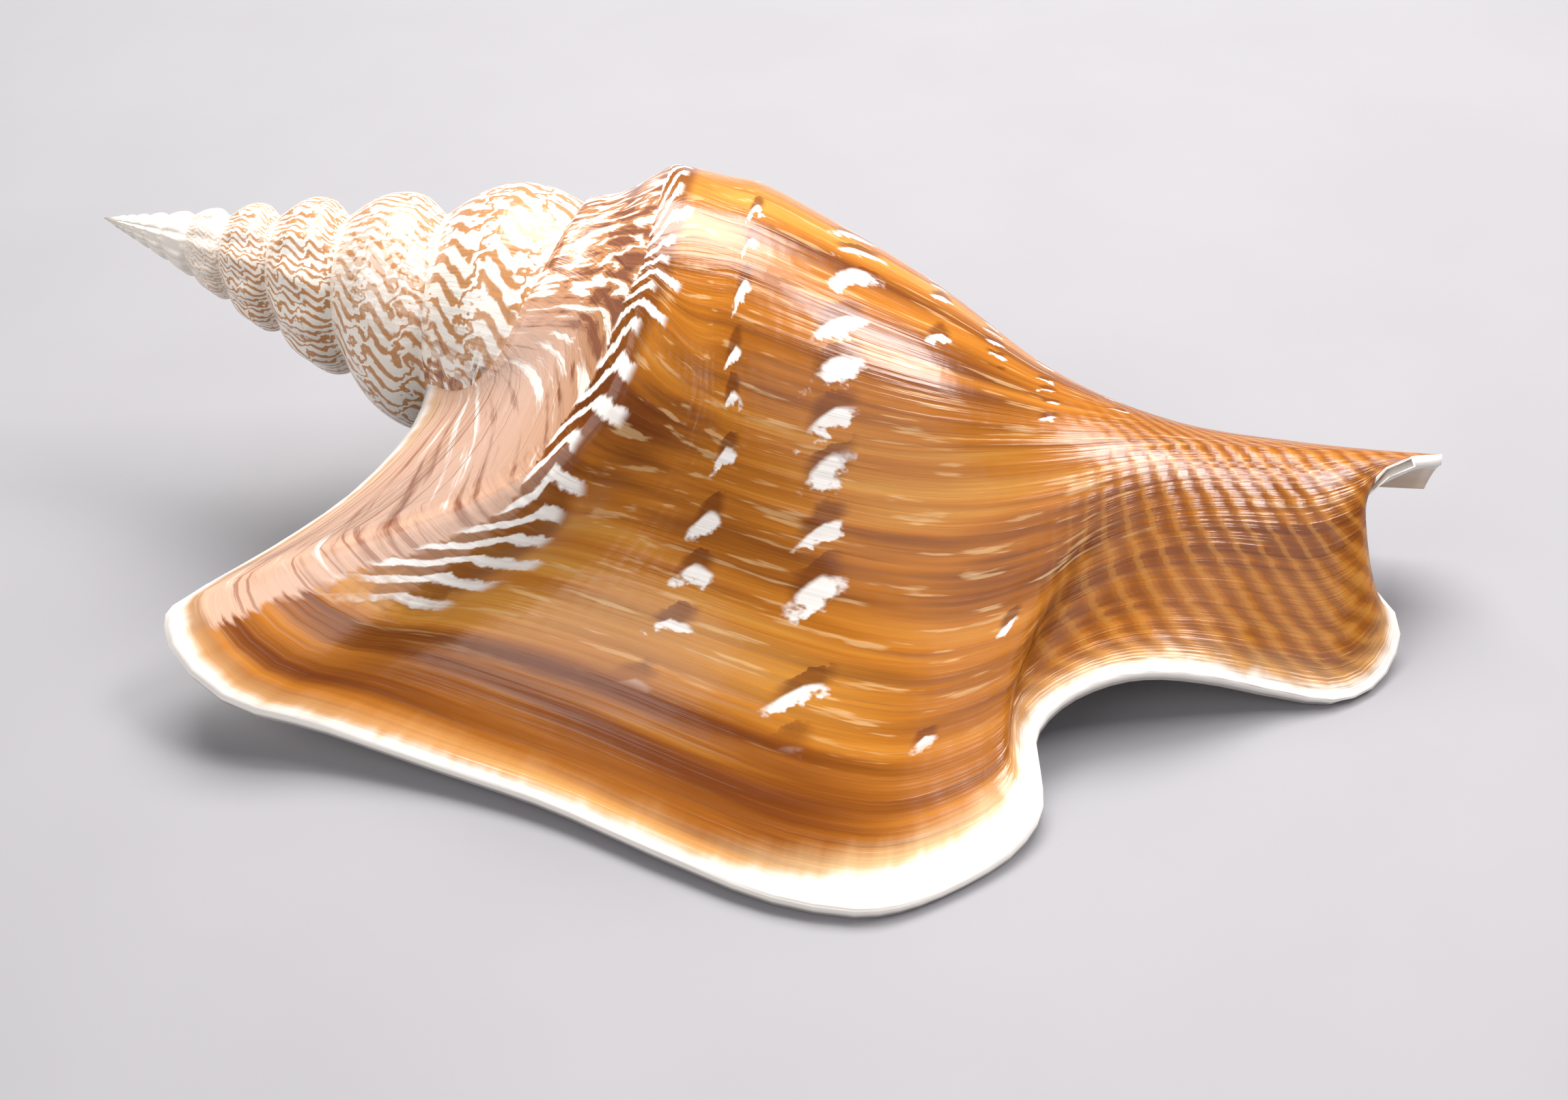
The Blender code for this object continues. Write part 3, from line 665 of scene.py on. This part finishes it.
def placeGroup():
    # where a point of the shell is: millimetres grown, section, turn, millimetres to the lip
    net = newGroup("placeOnShell")
    end = net.gives(*mapScale)
    for name, labels in mapLabels.items():
        split = net.put("SeparateXYZ", {0: net.put("UVMap", uv_map=name).outputs[0]})
        for part, label in zip(split.outputs, labels):
            scale, shift = mapScale[label]
            net.join(net.math("MULTIPLY_ADD", part, scale, -scale * shift), end[label])
    return net.tree


markLook = {
    "push": 2.4,  # how far noise pushes a mark along the growth
    "ragged": 2.4,
    "thickness": (0.55, 1.15),  # least and most by chance
    "shift": 0.35,  # how far chance moves a mark within its cell
    "aside": 0.6,
    "edge": (0.68, 1.2, 1.0, 0.0),
    "shadowBehind": 0.27,
    "shadowEdge": (0.5, 1.3, 1.0, 0.0), "shadowShare": 0.75,
    "seedShift": 7.31,
    "secondChance": 40.5,
}


def markGroup():
    # a row of pale marks that cross the growth lines at regular growth intervals
    look = markLook
    net = newGroup("markRow")
    start = net.takes(Grown=0.0, Section=0.0, Centre=3.0, Reach=0.2, Period=4.0, Thickness=1.2, Slant=0.0,
                      Bend=0.0, Seed=0.0, Spare=0.1, Wander=0.0)
    end = net.gives("Mask", "Shadow")
    period, wander, seed = start["Period"], start["Wander"], start["Seed"]
    across = net.math("DIVIDE", net.sub(start["Section"], start["Centre"]), start["Reach"])
    shifted = net.add(start["Grown"], net.mul(across, start["Slant"]))
    shifted = net.add(shifted, net.mul(net.math("ABSOLUTE", across), start["Bend"]))
    shifted = net.add(shifted, net.mul(wander, look["push"]))
    count = net.add(net.math("DIVIDE", shifted, period), net.mul(seed, look["seedShift"]))
    cell = net.math("FLOOR", count)
    inCell = net.sub(net.sub(count, cell), 0.5)
    luck = net.chance(net.add(cell, seed))
    otherLuck = net.sub(net.chance(net.add(cell, net.add(seed, look["secondChance"]))), 0.5)
    thick = net.mul(start["Thickness"], net.step(luck, 0.0, 1.0, *look["thickness"]))
    place = net.add(inCell, net.mul(otherLuck, look["shift"]))
    near = net.math("DIVIDE", net.mul(place, period), net.mul(thick, 0.5))
    aside = net.sub(across, net.mul(otherLuck, look["aside"]))
    edge = net.add(net.length(near, aside), net.mul(wander, look["ragged"]))
    kept = net.math("GREATER_THAN", luck, start["Spare"])
    net.join(net.mul(net.step(edge, *look["edge"]), kept), end["Mask"])
    shade = net.math("DIVIDE", net.mul(net.add(place, look["shadowBehind"]), period), thick)
    shadow = net.step(net.length(shade, aside), *look["shadowEdge"])
    net.join(net.mul(shadow, kept), end["Shadow"])
    return net.tree


zigzagLook = {
    "ring": 2.6,  # the noise is read around a ring, so it repeats each turn
    "down": 0.55,
    "noise": (2.0, 3.0, 0.55),
    "zagWander": 1.4,
    "zagSize": 0.27,
    "lineWander": 2.6,
    "fine": (60.0, 3.0),
    "fineShare": 1.7,
    "edge": (-0.45, 0.4),
}


def zigzagGroup():
    # wavy brown lines that run down the whorl, a whole number of them in a turn
    look = zigzagLook
    net = newGroup("zigzagLines")
    start = net.takes(Turn=0.0, Section=0.0, Lines=40.0, Zigzag=0.5, Zags=1.0, Width=0.5, Seed=0.0)
    end = net.gives("Mask")
    turn, section, seed = start["Turn"], start["Section"], start["Seed"]
    # the wander repeats each turn, so lines meet across a suture
    angle = net.mul(turn, fullTurn)
    ring = net.vector(net.mul(net.math("COSINE", angle), look["ring"]),
                      net.mul(net.math("SINE", angle), look["ring"]),
                      net.add(net.mul(section, look["down"]), seed))
    wander = net.sub(net.noise(ring, *look["noise"]), 0.5)
    zag = net.add(net.mul(section, start["Zags"]), net.mul(wander, look["zagWander"]))
    zag = net.mul(net.math("SINE", net.mul(zag, fullTurn)), look["zagSize"])
    phase = net.add(net.mul(turn, start["Lines"]), net.mul(zag, start["Zigzag"]))
    phase = net.add(phase, net.mul(wander, look["lineWander"]))
    wave = net.math("SINE", net.mul(phase, fullTurn))
    around, down = look["fine"]
    fine = net.noise(net.vector(net.mul(turn, around), net.mul(section, down), seed), 1.0, 2.0)
    level = net.sub(1.0, net.mul(start["Width"], 2.0))
    level = net.add(level, net.mul(net.sub(fine, 0.5), look["fineShare"]))
    net.join(net.step(net.sub(wave, level), *look["edge"]), end["Mask"])
    return net.tree


# Noise for each output: changes for each millimetre grown, for each section position, and its place
growthLook = {
    "Broad": ((0.11, 0.22, 3.3), 3.0, 0.55),
    "Middle": ((0.42, 0.35, 12.6), 3.0, 0.55),
    "Fine": ((1.7, 0.35, 51.0), 3.0, 0.55),
    "Threads": ((0.12, 9.0, 3.0), 2.0, 0.5),
}


def growthGroup():
    # bands and fine lines parallel to the lip, and threads along the whorl
    net = newGroup("growthBands")
    start = net.takes(Grown=0.0, Section=0.0)
    end = net.gives(*growthLook)
    for label, (pattern, detail, rough) in growthLook.items():
        net.join(net.streaks(start["Grown"], start["Section"], pattern, detail, rough), end[label])
    return net.tree


paint = {
    "deep": (0.16, 0.036, 0.002),  # darkest bands, cord grooves and mark shadows; also painted shade by the rim and below the shoulder
    "amber": (0.50, 0.165, 0.012),
    "ochre": (0.68, 0.32, 0.055),  # paler bands and cord ridges; also the painted highlight on the wing
    "pale": (0.86, 0.60, 0.30),  # beside the lip
    "white": (0.93, 0.88, 0.82),
    "ramp": (0.52, 0.24, 0.10),  # between suture and shoulder
    "rampPink": (0.66, 0.41, 0.29),
    "rampDark": (0.27, 0.10, 0.05),
    "zigzag": (0.54, 0.26, 0.105),
    "cream": (0.90, 0.84, 0.75),
    "coat": 0.15,
    "roughness": (0.3, 0.7, 0.15, 0.27),
}
insideLook = {
    "white": (0.90, 0.85, 0.79),
    "deep": (0.80, 0.55, 0.33),
    "deepFrom": (4.0, 45.0),
    "deepShare": 0.75,
    "bands": (0.25, 0.7, 0.6, 1.0),
    "relief": (0.6, 0.2),  # of the middle and the fine bands
    "bump": (0.3, 0.0003),  # strength, and height in metres
    "coat": 0.3,
    "roughness": (0.3, 0.7, 0.12, 0.24),
}


def newMaterial(name, coat):
    material = bpy.data.materials.new(name)
    material.use_nodes = True
    shader = material.node_tree.nodes["Principled BSDF"]
    for label, value in (("Coat Weight", coat), ("Coat Roughness", 0.06), ("Specular IOR Level", 0.5)):
        shader.inputs[label].default_value = value
    return material, Net(material.node_tree), shader


def addBump(net, shader, relief, look):
    strength, height = look["bump"]
    bump = net.put("Bump", {"Strength": strength, "Distance": height, "Height": relief})
    net.join(bump.outputs[0], shader.inputs["Normal"])


# In the looks below, two numbers are where an eased step from 0 to 1 starts and ends; four add
# its values before and after. Lengths are millimetres, grown or to the lip's edge.
bendLook = {
    "from": 3.6,  # section position where the growth lines start to bend
    "most": 1.95,
    "offLip": (2.0, 14.0),
    "onWing": (-62.0, -42.0),
    "pull": (-42.0, -30.0, 4.3, 2.0),
    "wander": (0.62, 6.0, 2.0),
}


def placeValues(net, place):
    # the place on the shell, the growth along the bent growth lines, and a wander for ragged edges
    look = bendLook
    found = net.group(place)
    at = {label: found[label] for label in mapScale}
    grown, section = at["Grown"], at["Section"]
    above = net.clipped(net.sub(look["from"], section), 0.0, look["most"])
    onWing = net.mul(net.step(at["ToLip"], *look["offLip"]), net.step(grown, *look["onWing"]))
    at["Bent"] = net.sub(grown, net.mul(above, above, onWing, net.step(grown, *look["pull"])))
    at["Wander"] = net.sub(net.streaks(grown, section, look["wander"], 3.0, 0.6), 0.5)
    return at


bodyLook = {
    "bands": (("Broad", 0.5), ("Middle", 0.38), ("Fine", 0.12)),
    "dark": (0.45, 0.64),
    "light": (0.36, 0.50, 1.0, 0.0),
    "lightShare": 0.8,
    "paintedHighlightToLip": (14.5, 20.0, 2.5),  # painted highlight along the wing's crease: from, to and how soft
    "paintedHighlightPlace": (2.5, 5.0, 0.5),
    "paintedHighlightShare": 0.5,
    "edgeToLip": (5.5, 13.0, 1.6),  # the dark band inside the rim: darker growth bands, deepened as painted shade on the lower wing
    "edgePlace": (2.6, 5.2, 0.5),
    "edgeBands": (0.3, 0.6, 0.45, 1.0),
    "dashes": (1.3, 1.5, 11.0),  # faint pale dashes along the growth lines
    "dashEdge": (0.58, 0.66),
    "dashToLip": (9.0, 16.0),
    "dashShare": 0.4,
}


def bodyColour(net, at, band):
    # amber with darker growth bands, a painted highlight on the wing, and a dark band by the rim that is
    # partly painted shade
    look = bodyLook
    section, toLip = at["Section"], at["ToLip"]
    shade = net.add(*[net.mul(band[label], share) for label, share in look["bands"]])
    colour = net.mix(net.step(shade, *look["dark"]), paint["amber"], paint["deep"])
    light = net.mul(net.step(shade, *look["light"]), look["lightShare"])
    colour = net.mix(light, colour, paint["ochre"])
    # painted highlight: a pale ochre band where light catches the wing's crease
    thin = net.mul(net.between(toLip, *look["paintedHighlightToLip"]), net.between(section, *look["paintedHighlightPlace"]),
                   look["paintedHighlightShare"])
    colour = net.mix(thin, colour, paint["ochre"])
    # dark band inside the rim: the shell's darker bands, deepened there as painted shade on the lower wing
    edge = net.mul(net.between(toLip, *look["edgeToLip"]), net.between(section, *look["edgePlace"]),
                   net.step(band["Middle"], *look["edgeBands"]))
    colour = net.mix(edge, colour, paint["deep"])
    dash = net.step(net.streaks(at["Bent"], section, look["dashes"]), *look["dashEdge"])
    dash = net.mul(dash, net.step(toLip, *look["dashToLip"]), look["dashShare"])
    return net.mix(dash, colour, paint["pale"])


# Rows of white marks, from the shoulder to the canal
markColumns = ("Centre", "Reach", "Period", "Thickness", "Slant", "Bend", "Seed", "Spare")
markRows = (
    ((-40.0, -18.0, 3.72, 3.98), 0.11, 4.9, 2.1, 0.7, -0.5, 2.064, 0.05),
    ((-36.0, -16.0, 4.5, 4.7), 0.13, 4.6, 2.4, 1.4, -0.4, 3.0, 0.02),
    (5.05, 0.08, 3.7, 1.1, 0.5, -0.4, 4.0, (-54.0, -38.0, 0.15, 0.85)),
    (5.45, 0.08, 3.2, 1.0, 0.4, 0.0, 5.0, (-54.0, -38.0, 0.15, 0.85)),
    (5.9, 0.08, 3.4, 0.9, 0.4, 0.0, 6.0, (-54.0, -38.0, 0.2, 0.85)),
    (6.5, 0.09, 3.9, 0.8, 0.3, 0.0, 7.0, (-54.0, -38.0, 0.3, 0.85)))
markShown = (11.5, 14.5)


def addMarks(net, at, marks, colour):
    shown = net.step(at["ToLip"], *markShown)
    for row in markRows:
        values = {label: net.step(at["Grown"], *value) if isinstance(value, tuple) else value
                  for label, value in zip(markColumns, row)}
        mark = net.group(marks, Grown=at["Grown"], Section=at["Section"], Wander=at["Wander"], **values)
        shadow = net.mul(mark["Shadow"], shown, markLook["shadowShare"])
        colour = net.mix(shadow, colour, paint["deep"])
        colour = net.mix(net.mul(mark["Mask"], shown), colour, paint["white"])
    return colour


barLook = {
    "shoulder": (-48.0, -32.0, 2.02, 1.68),  # section position of the shoulder line
    "shoulderRise": (-31.0, -23.0, 0.0, 0.56),
    "peak": 0.19,  # below the line, where a bar turns along the growth lines
    "hook": 0.3,
    "hookPull": 15.0,
    "ragged": 1.6,
    "often": 0.385,  # bars in a millimetre
    "width": (0.14, 0.27, 1.0, 0.0),
    "longer": 0.4,  # by chance
    "end": (0.0, 0.14, 1.0, 0.0),
    "topRagged": 0.12,
    "top": (-0.09, -0.04),
    "stopRagged": 8.0,
    "stop": (-16.0, -12.0, 1.0, 0.0),
    "offLip": (7.0, 12.0),
    # band below the shoulder: brown between the bars and painted shade under the ridge
    "brownAndShade": (-0.1, 0.42, 0.1),
    "brownAndShadeShare": 0.7,
}


def shoulderBars(net, at):
    # white bars that start at the shoulder, the brown between them with painted shade below the shoulder's
    # ridge, and the way below the shoulder
    look = barLook
    section, bent, wander = at["Section"], at["Bent"], at["Wander"]
    shoulder = net.add(net.step(bent, *look["shoulder"]), net.step(bent, *look["shoulderRise"]))
    peak = net.add(shoulder, look["peak"])
    hook = net.mul(net.clipped(net.sub(peak, section), 0.0, look["hook"]), look["hookPull"])
    line = net.add(net.sub(bent, hook), net.mul(wander, look["ragged"]))
    line = net.mul(line, look["often"])
    cell = net.math("FLOOR", line)
    aside = net.math("ABSOLUTE", net.sub(net.sub(line, cell), 0.5))
    past = net.sub(net.sub(section, peak), net.mul(net.chance(cell), look["longer"]))
    below = net.add(net.sub(section, shoulder), net.mul(wander, look["topRagged"]))
    stop = net.step(net.add(bent, net.mul(wander, look["stopRagged"])), *look["stop"])
    shown = net.mul(stop, net.step(at["ToLip"], *look["offLip"]))
    bar = net.mul(net.step(aside, *look["width"]), net.step(past, *look["end"]),
                  net.step(below, *look["top"]), shown)
    # brown between the bars, partly painted shade under the shoulder's ridge
    brownAndShade = net.mul(net.between(net.sub(section, shoulder), *look["brownAndShade"]), shown, look["brownAndShadeShare"])
    return bar, brownAndShade, below


# A pair in the lower part is a value and how much it changes on the newest growth
rampLook = {
    "lean": -5.0,  # streaks fan out towards the finger
    "leanFrom": (-75.0, -45.0),
    "leanToLip": (0.0, 9.0),
    "specks": (0.55, 2.0, 8.0),
    "streaks": (0.9, 0.4, 5.0),
    "newest": (-30.0, -14.0),
    "darkerFrom": (0.5, 1.7),
    "darker": 0.035,
    "hair": (0.36, 0.44, 1.0, 0.0),
    "hairShare": 0.65,
    "edgeRagged": 0.2,
    "edge": (-0.07, -0.02, 1.0, 0.0),
    "speckShare": (0.7, -0.5),
    "darkTo": (0.47, -0.006),
    "darkBlur": (0.05, 0.11),
    "whiteFrom": (0.495, 0.05),
    "whiteBlur": (0.035, 0.05),
}


def rampColour(net, at, band):
    # mottled brown and cream between suture and shoulder, pinker and streaked on the wing
    look = rampLook
    grown, section = at["Grown"], at["Section"]
    lean = net.mul(net.sub(shoulderAt, section), net.step(grown, *look["leanFrom"]),
                   net.step(at["ToLip"], *look["leanToLip"]), look["lean"])
    fanned = net.add(grown, lean)
    speck = net.streaks(fanned, section, look["specks"], 3.0, 0.5, 0.6)
    streak = net.streaks(fanned, section, look["streaks"], 4.0, 0.6)
    newest = net.step(grown, *look["newest"])
    speckShare, darkTo, darkBlur, whiteFrom, whiteBlur = [
        net.add(look[label][0], net.mul(newest, look[label][1]))
        for label in ("speckShare", "darkTo", "darkBlur", "whiteFrom", "whiteBlur")]
    mottle = net.add(net.mul(speck, speckShare), net.mul(streak, net.sub(1.0, speckShare)))
    mottle = net.sub(mottle, net.mul(net.step(section, *look["darkerFrom"]), look["darker"]))
    ground = net.mix(newest, paint["ramp"], paint["rampPink"])
    dark = net.step(mottle, net.sub(darkTo, darkBlur), darkTo)
    colour = net.mix(dark, paint["rampDark"], ground)
    white = net.step(mottle, whiteFrom, net.add(whiteFrom, whiteBlur))
    colour = net.mix(white, colour, paint["cream"])
    hair = net.mul(net.step(band["Fine"], *look["hair"]), newest, look["hairShare"])
    return net.mix(hair, colour, paint["rampDark"]), streak


spireLook = {
    "bold": {"Lines": 34.0, "Zigzag": 1.7, "Zags": 0.62, "Width": 0.38, "Seed": 1.0},
    "narrow": {"Lines": 54.0, "Zigzag": 1.0, "Zags": 0.8, "Width": 0.36, "Seed": 2.0},
    "narrowUntil": (-2.05, -1.75, 1.0, 0.0),
    "plainUntil": (-6.2, -3.6),
    "underSuture": (0.10, 0.32, 0.35, 1.0),
    "end": (-1.0, -0.62, 1.0, 0.0),
    "endRagged": 0.8,
    "endEdge": (0.35, 0.65),
}


def addSpire(net, at, zigzags, streak, colour):
    # cream with wavy brown lines, narrow ones on the older whorls
    look = spireLook
    turn, section = at["Turn"], at["Section"]
    bold, narrow = [net.group(zigzags, Turn=turn, Section=section, **look[label])["Mask"]
                    for label in ("bold", "narrow")]
    older = net.step(turn, *look["narrowUntil"])
    lines = net.add(net.mul(narrow, older), net.mul(bold, net.sub(1.0, older)))
    lines = net.mul(lines, net.step(turn, *look["plainUntil"]), net.step(section, *look["underSuture"]))
    spire = net.mix(lines, paint["cream"], paint["zigzag"])
    ragged = net.mul(net.sub(streak, 0.5), look["endRagged"])
    share = net.step(net.add(net.step(turn, *look["end"]), ragged), *look["endEdge"])
    return net.mix(share, colour, spire)


cordLook = {
    "from": (5.9, 7.0),
    "wander": 0.12,
    "slant": 0.03,
    "often": 44.0,
    "ridge": (0.4, 0.95),
    "ridgeShare": 0.35,
    "groove": (0.2, -0.9, 0.25, 0.6),
}


def addCords(net, at, band, colour):
    # oblique cords across the base near the canal; their wave and their share go to the relief too
    look = cordLook
    canal = net.step(at["Section"], *look["from"])
    across = net.sub(net.mul(band["Middle"], look["wander"]), net.mul(at["Grown"], look["slant"]))
    cords = net.math("SINE", net.mul(net.add(at["Section"], across), look["often"]))
    ridge = net.mul(net.step(cords, *look["ridge"]), canal, look["ridgeShare"])
    colour = net.mix(ridge, colour, paint["ochre"])
    groove = net.mul(net.step(cords, *look["groove"]), canal)
    return net.mix(groove, colour, paint["deep"]), cords, canal


rimLook = {
    "ragged": 1.6,
    "corner": (4.9, 6.2, 0.5),  # the lip's front corner: from, to and how soft
    "finger": (1.6, 2.4, 0.3),
    "width": (0.8, 2.4, 0.6),  # everywhere, more at the corner, more at the finger
    "paleEdge": (0.2, 3.6, 1.0, 0.0),
    "pale": (0.35, 0.4),  # everywhere, more at the corner
    "whiteEdge": (-0.6, 1.1, 1.0, 0.0),
}


def addRim(net, at, band, colour):
    # pale beside the lip and a white rim
    look = rimLook
    ragged = net.mul(net.sub(band["Threads"], 0.5), look["ragged"])
    corner = net.between(at["Section"], *look["corner"])
    finger = net.between(at["Section"], *look["finger"])
    width, atCorner, atFinger = look["width"]
    width = net.add(width, net.mul(corner, atCorner), net.mul(finger, atFinger))
    past = net.sub(net.add(at["ToLip"], ragged), width)
    pale = net.add(look["pale"][0], net.mul(corner, look["pale"][1]))
    colour = net.mix(net.mul(net.step(past, *look["paleEdge"]), pale), colour, paint["pale"])
    return net.mix(net.step(past, *look["whiteEdge"]), colour, paint["white"])


reliefLook = {
    "fine": 0.34,
    "middle": 0.75,
    "ribs": 21.0,  # in a turn of the early whorls
    "ribsUntil": (-5.5, -3.0, 1.0, 0.0),
    "ribHeight": 0.12,
    "threads": (0.10, 0.2),  # everywhere, and more near the canal
    "cords": (0.012, 0.07),
    "bump": (0.6, 0.0004),  # strength, and height in metres
}


def outsideRelief(net, at, band, cords, canal):
    look = reliefLook
    ribs = net.math("SINE", net.mul(at["Turn"], fullTurn * look["ribs"]))
    threads, cordHeight = [net.add(look[label][0], net.mul(canal, look[label][1]))
                           for label in ("threads", "cords")]
    return net.add(net.mul(band["Fine"], look["fine"]), net.mul(band["Middle"], look["middle"]),
                   net.mul(ribs, net.step(at["Turn"], *look["ribsUntil"]), look["ribHeight"]),
                   net.mul(band["Threads"], threads), net.mul(cords, cordHeight))


def makeOutside(place, marks, zigzags, bands):
    material, net, shader = newMaterial("shellOutside", paint["coat"])
    at = placeValues(net, place)
    band = net.group(bands, Grown=at["Bent"], Section=at["Section"])
    colour = addMarks(net, at, marks, bodyColour(net, at, band))
    bar, brownAndShade, below = shoulderBars(net, at)
    # brown below the shoulder, partly painted shade under its ridge
    colour = net.mix(brownAndShade, colour, paint["deep"])
    ramp, streak = rampColour(net, at, band)
    ragged = net.mul(net.sub(band["Fine"], 0.5), rampLook["edgeRagged"])
    colour = net.mix(net.step(net.add(below, ragged), *rampLook["edge"]), colour, ramp)
    colour = net.mix(bar, colour, paint["white"])
    colour = addSpire(net, at, zigzags, streak, colour)
    colour, cords, canal = addCords(net, at, band, colour)
    net.join(addRim(net, at, band, colour), shader.inputs["Base Color"])
    addBump(net, shader, outsideRelief(net, at, band, cords, canal), reliefLook)
    net.join(net.step(band["Fine"], *paint["roughness"]), shader.inputs["Roughness"])
    return material


def makeInside(place, bands):
    look = insideLook
    material, net, shader = newMaterial("shellInside", look["coat"])
    at = net.group(place)
    band = net.group(bands, Grown=at["Grown"], Section=at["Section"])
    deep = net.mul(net.step(at["ToLip"], *look["deepFrom"]), look["deepShare"],
                   net.step(band["Broad"], *look["bands"]))
    net.join(net.mix(deep, look["white"], look["deep"]), shader.inputs["Base Color"])
    middle, fine = look["relief"]
    relief = net.add(net.mul(band["Middle"], middle), net.mul(band["Fine"], fine))
    addBump(net, shader, relief, look)
    net.join(net.step(band["Middle"], *look["roughness"]), shader.inputs["Roughness"])
    return material


shell = makeShell()
bands = growthGroup()
place = placeGroup()
shell.data.materials.append(makeOutside(place, markGroup(), zigzagGroup(), bands))
shell.data.materials.append(makeInside(place, bands))
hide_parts("shell")
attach(shell, "root")
print("shell finished")

floorLook = {
    "reach": 3.0,  # metres from the middle to each side
    "colour": (0.30, 0.295, 0.31),
    "darker": (0.29, 0.285, 0.30),
    "grain": (40.0, 3.0),
    "grainEdge": (0.3, 0.7),
    "roughness": 0.6,
}
floorMesh = bpy.data.meshes.new("floor")
reach = floorLook["reach"]
corners = [(-reach, -reach, 0), (reach, -reach, 0), (reach, reach, 0), (-reach, reach, 0)]
floorMesh.from_pydata(corners, [], [(0, 1, 2, 3)])
floor = bpy.data.objects.new("floor", floorMesh)
scene.collection.objects.link(floor)
floorMaterial, floorNet, floorShader = newMaterial("paleFloor", 0.0)
grain = floorNet.noise(floorNet.put("TexCoord").outputs["Object"], *floorLook["grain"])
grain = floorNet.step(grain, *floorLook["grainEdge"])
floorColour = floorNet.mix(grain, floorLook["darker"], floorLook["colour"])
floorNet.join(floorColour, floorShader.inputs["Base Color"])
floorNet.join(floorLook["roughness"], floorShader.inputs["Roughness"])
floorMesh.materials.append(floorMaterial)

# Soft studio light: a large window behind, a smaller light behind on the right, one on the left
# and a weak fill in front. Each has its place, aim, width, height, power, colour and shine.
lampLook = {
    "window": ((-0.06, 0.31, 0.45), (-0.02, 0.0, 0.01), 0.46, 0.34, 5.4, (1.0, 0.985, 0.97), 1.0),
    "side": ((0.29, 0.14, 0.42), (0.02, 0.0, 0.02), 0.20, 0.15, 1.8, (1.0, 0.97, 0.98), 1.0),
    "left": ((-0.34, -0.30, 0.34), (-0.02, 0.0, 0.01), 0.5, 0.4, 1.5, (1.0, 0.98, 0.97), 1.0),
    "fill": ((0.45, -0.35, 0.45), (0.0, 0.0, 0.0), 0.5, 0.5, 0.8, (0.96, 0.97, 1.0), 0.15),
}
for name, (spot, aim, width, height, power, colour, shine) in lampLook.items():
    light = bpy.data.lights.new(name, "AREA")
    light.shape = "RECTANGLE"
    light.size = width
    light.size_y = height
    light.energy = power
    light.color = colour
    light.specular_factor = shine
    holder = bpy.data.objects.new(name, light)
    holder.location = spot
    holder.rotation_euler = (Vector(aim) - Vector(spot)).to_track_quat("-Z", "Y").to_euler()
    scene.collection.objects.link(holder)

worldLook = {"colour": (0.62, 0.60, 0.64, 1.0), "strength": 0.24}
world = bpy.data.worlds.new("studio")
world.use_nodes = True
background = world.node_tree.nodes["Background"]
background.inputs["Color"].default_value = worldLook["colour"]
background.inputs["Strength"].default_value = worldLook["strength"]
scene.world = world
scene.view_settings.view_transform = "Standard"

cameraLook = {
    "place": (0.04682, -0.12681, 0.12351),
    "target": (0.00573, 0.00552, 0.00397),
    "roll": 3.72,  # degrees the camera leans to the left
    "lens": 46.0,  # millimetres, on a sensor of the width below
    "sensor": 36.0,
    "nearest": 0.005,
}
lens = bpy.data.cameras.new("camera")
lens.lens = cameraLook["lens"]
lens.sensor_width = cameraLook["sensor"]
lens.clip_start = cameraLook["nearest"]
camera = bpy.data.objects.new("camera", lens)
eye = Vector(cameraLook["place"])
facing = (Vector(cameraLook["target"]) - eye).to_track_quat("-Z", "Y").to_matrix()
lean = Matrix.Rotation(math.radians(-cameraLook["roll"]), 3, "Z")
camera.matrix_world = Matrix.Translation(eye) @ (facing @ lean).to_4x4()
scene.collection.objects.link(camera)
scene.camera = camera
print("stage, lights and camera ready")
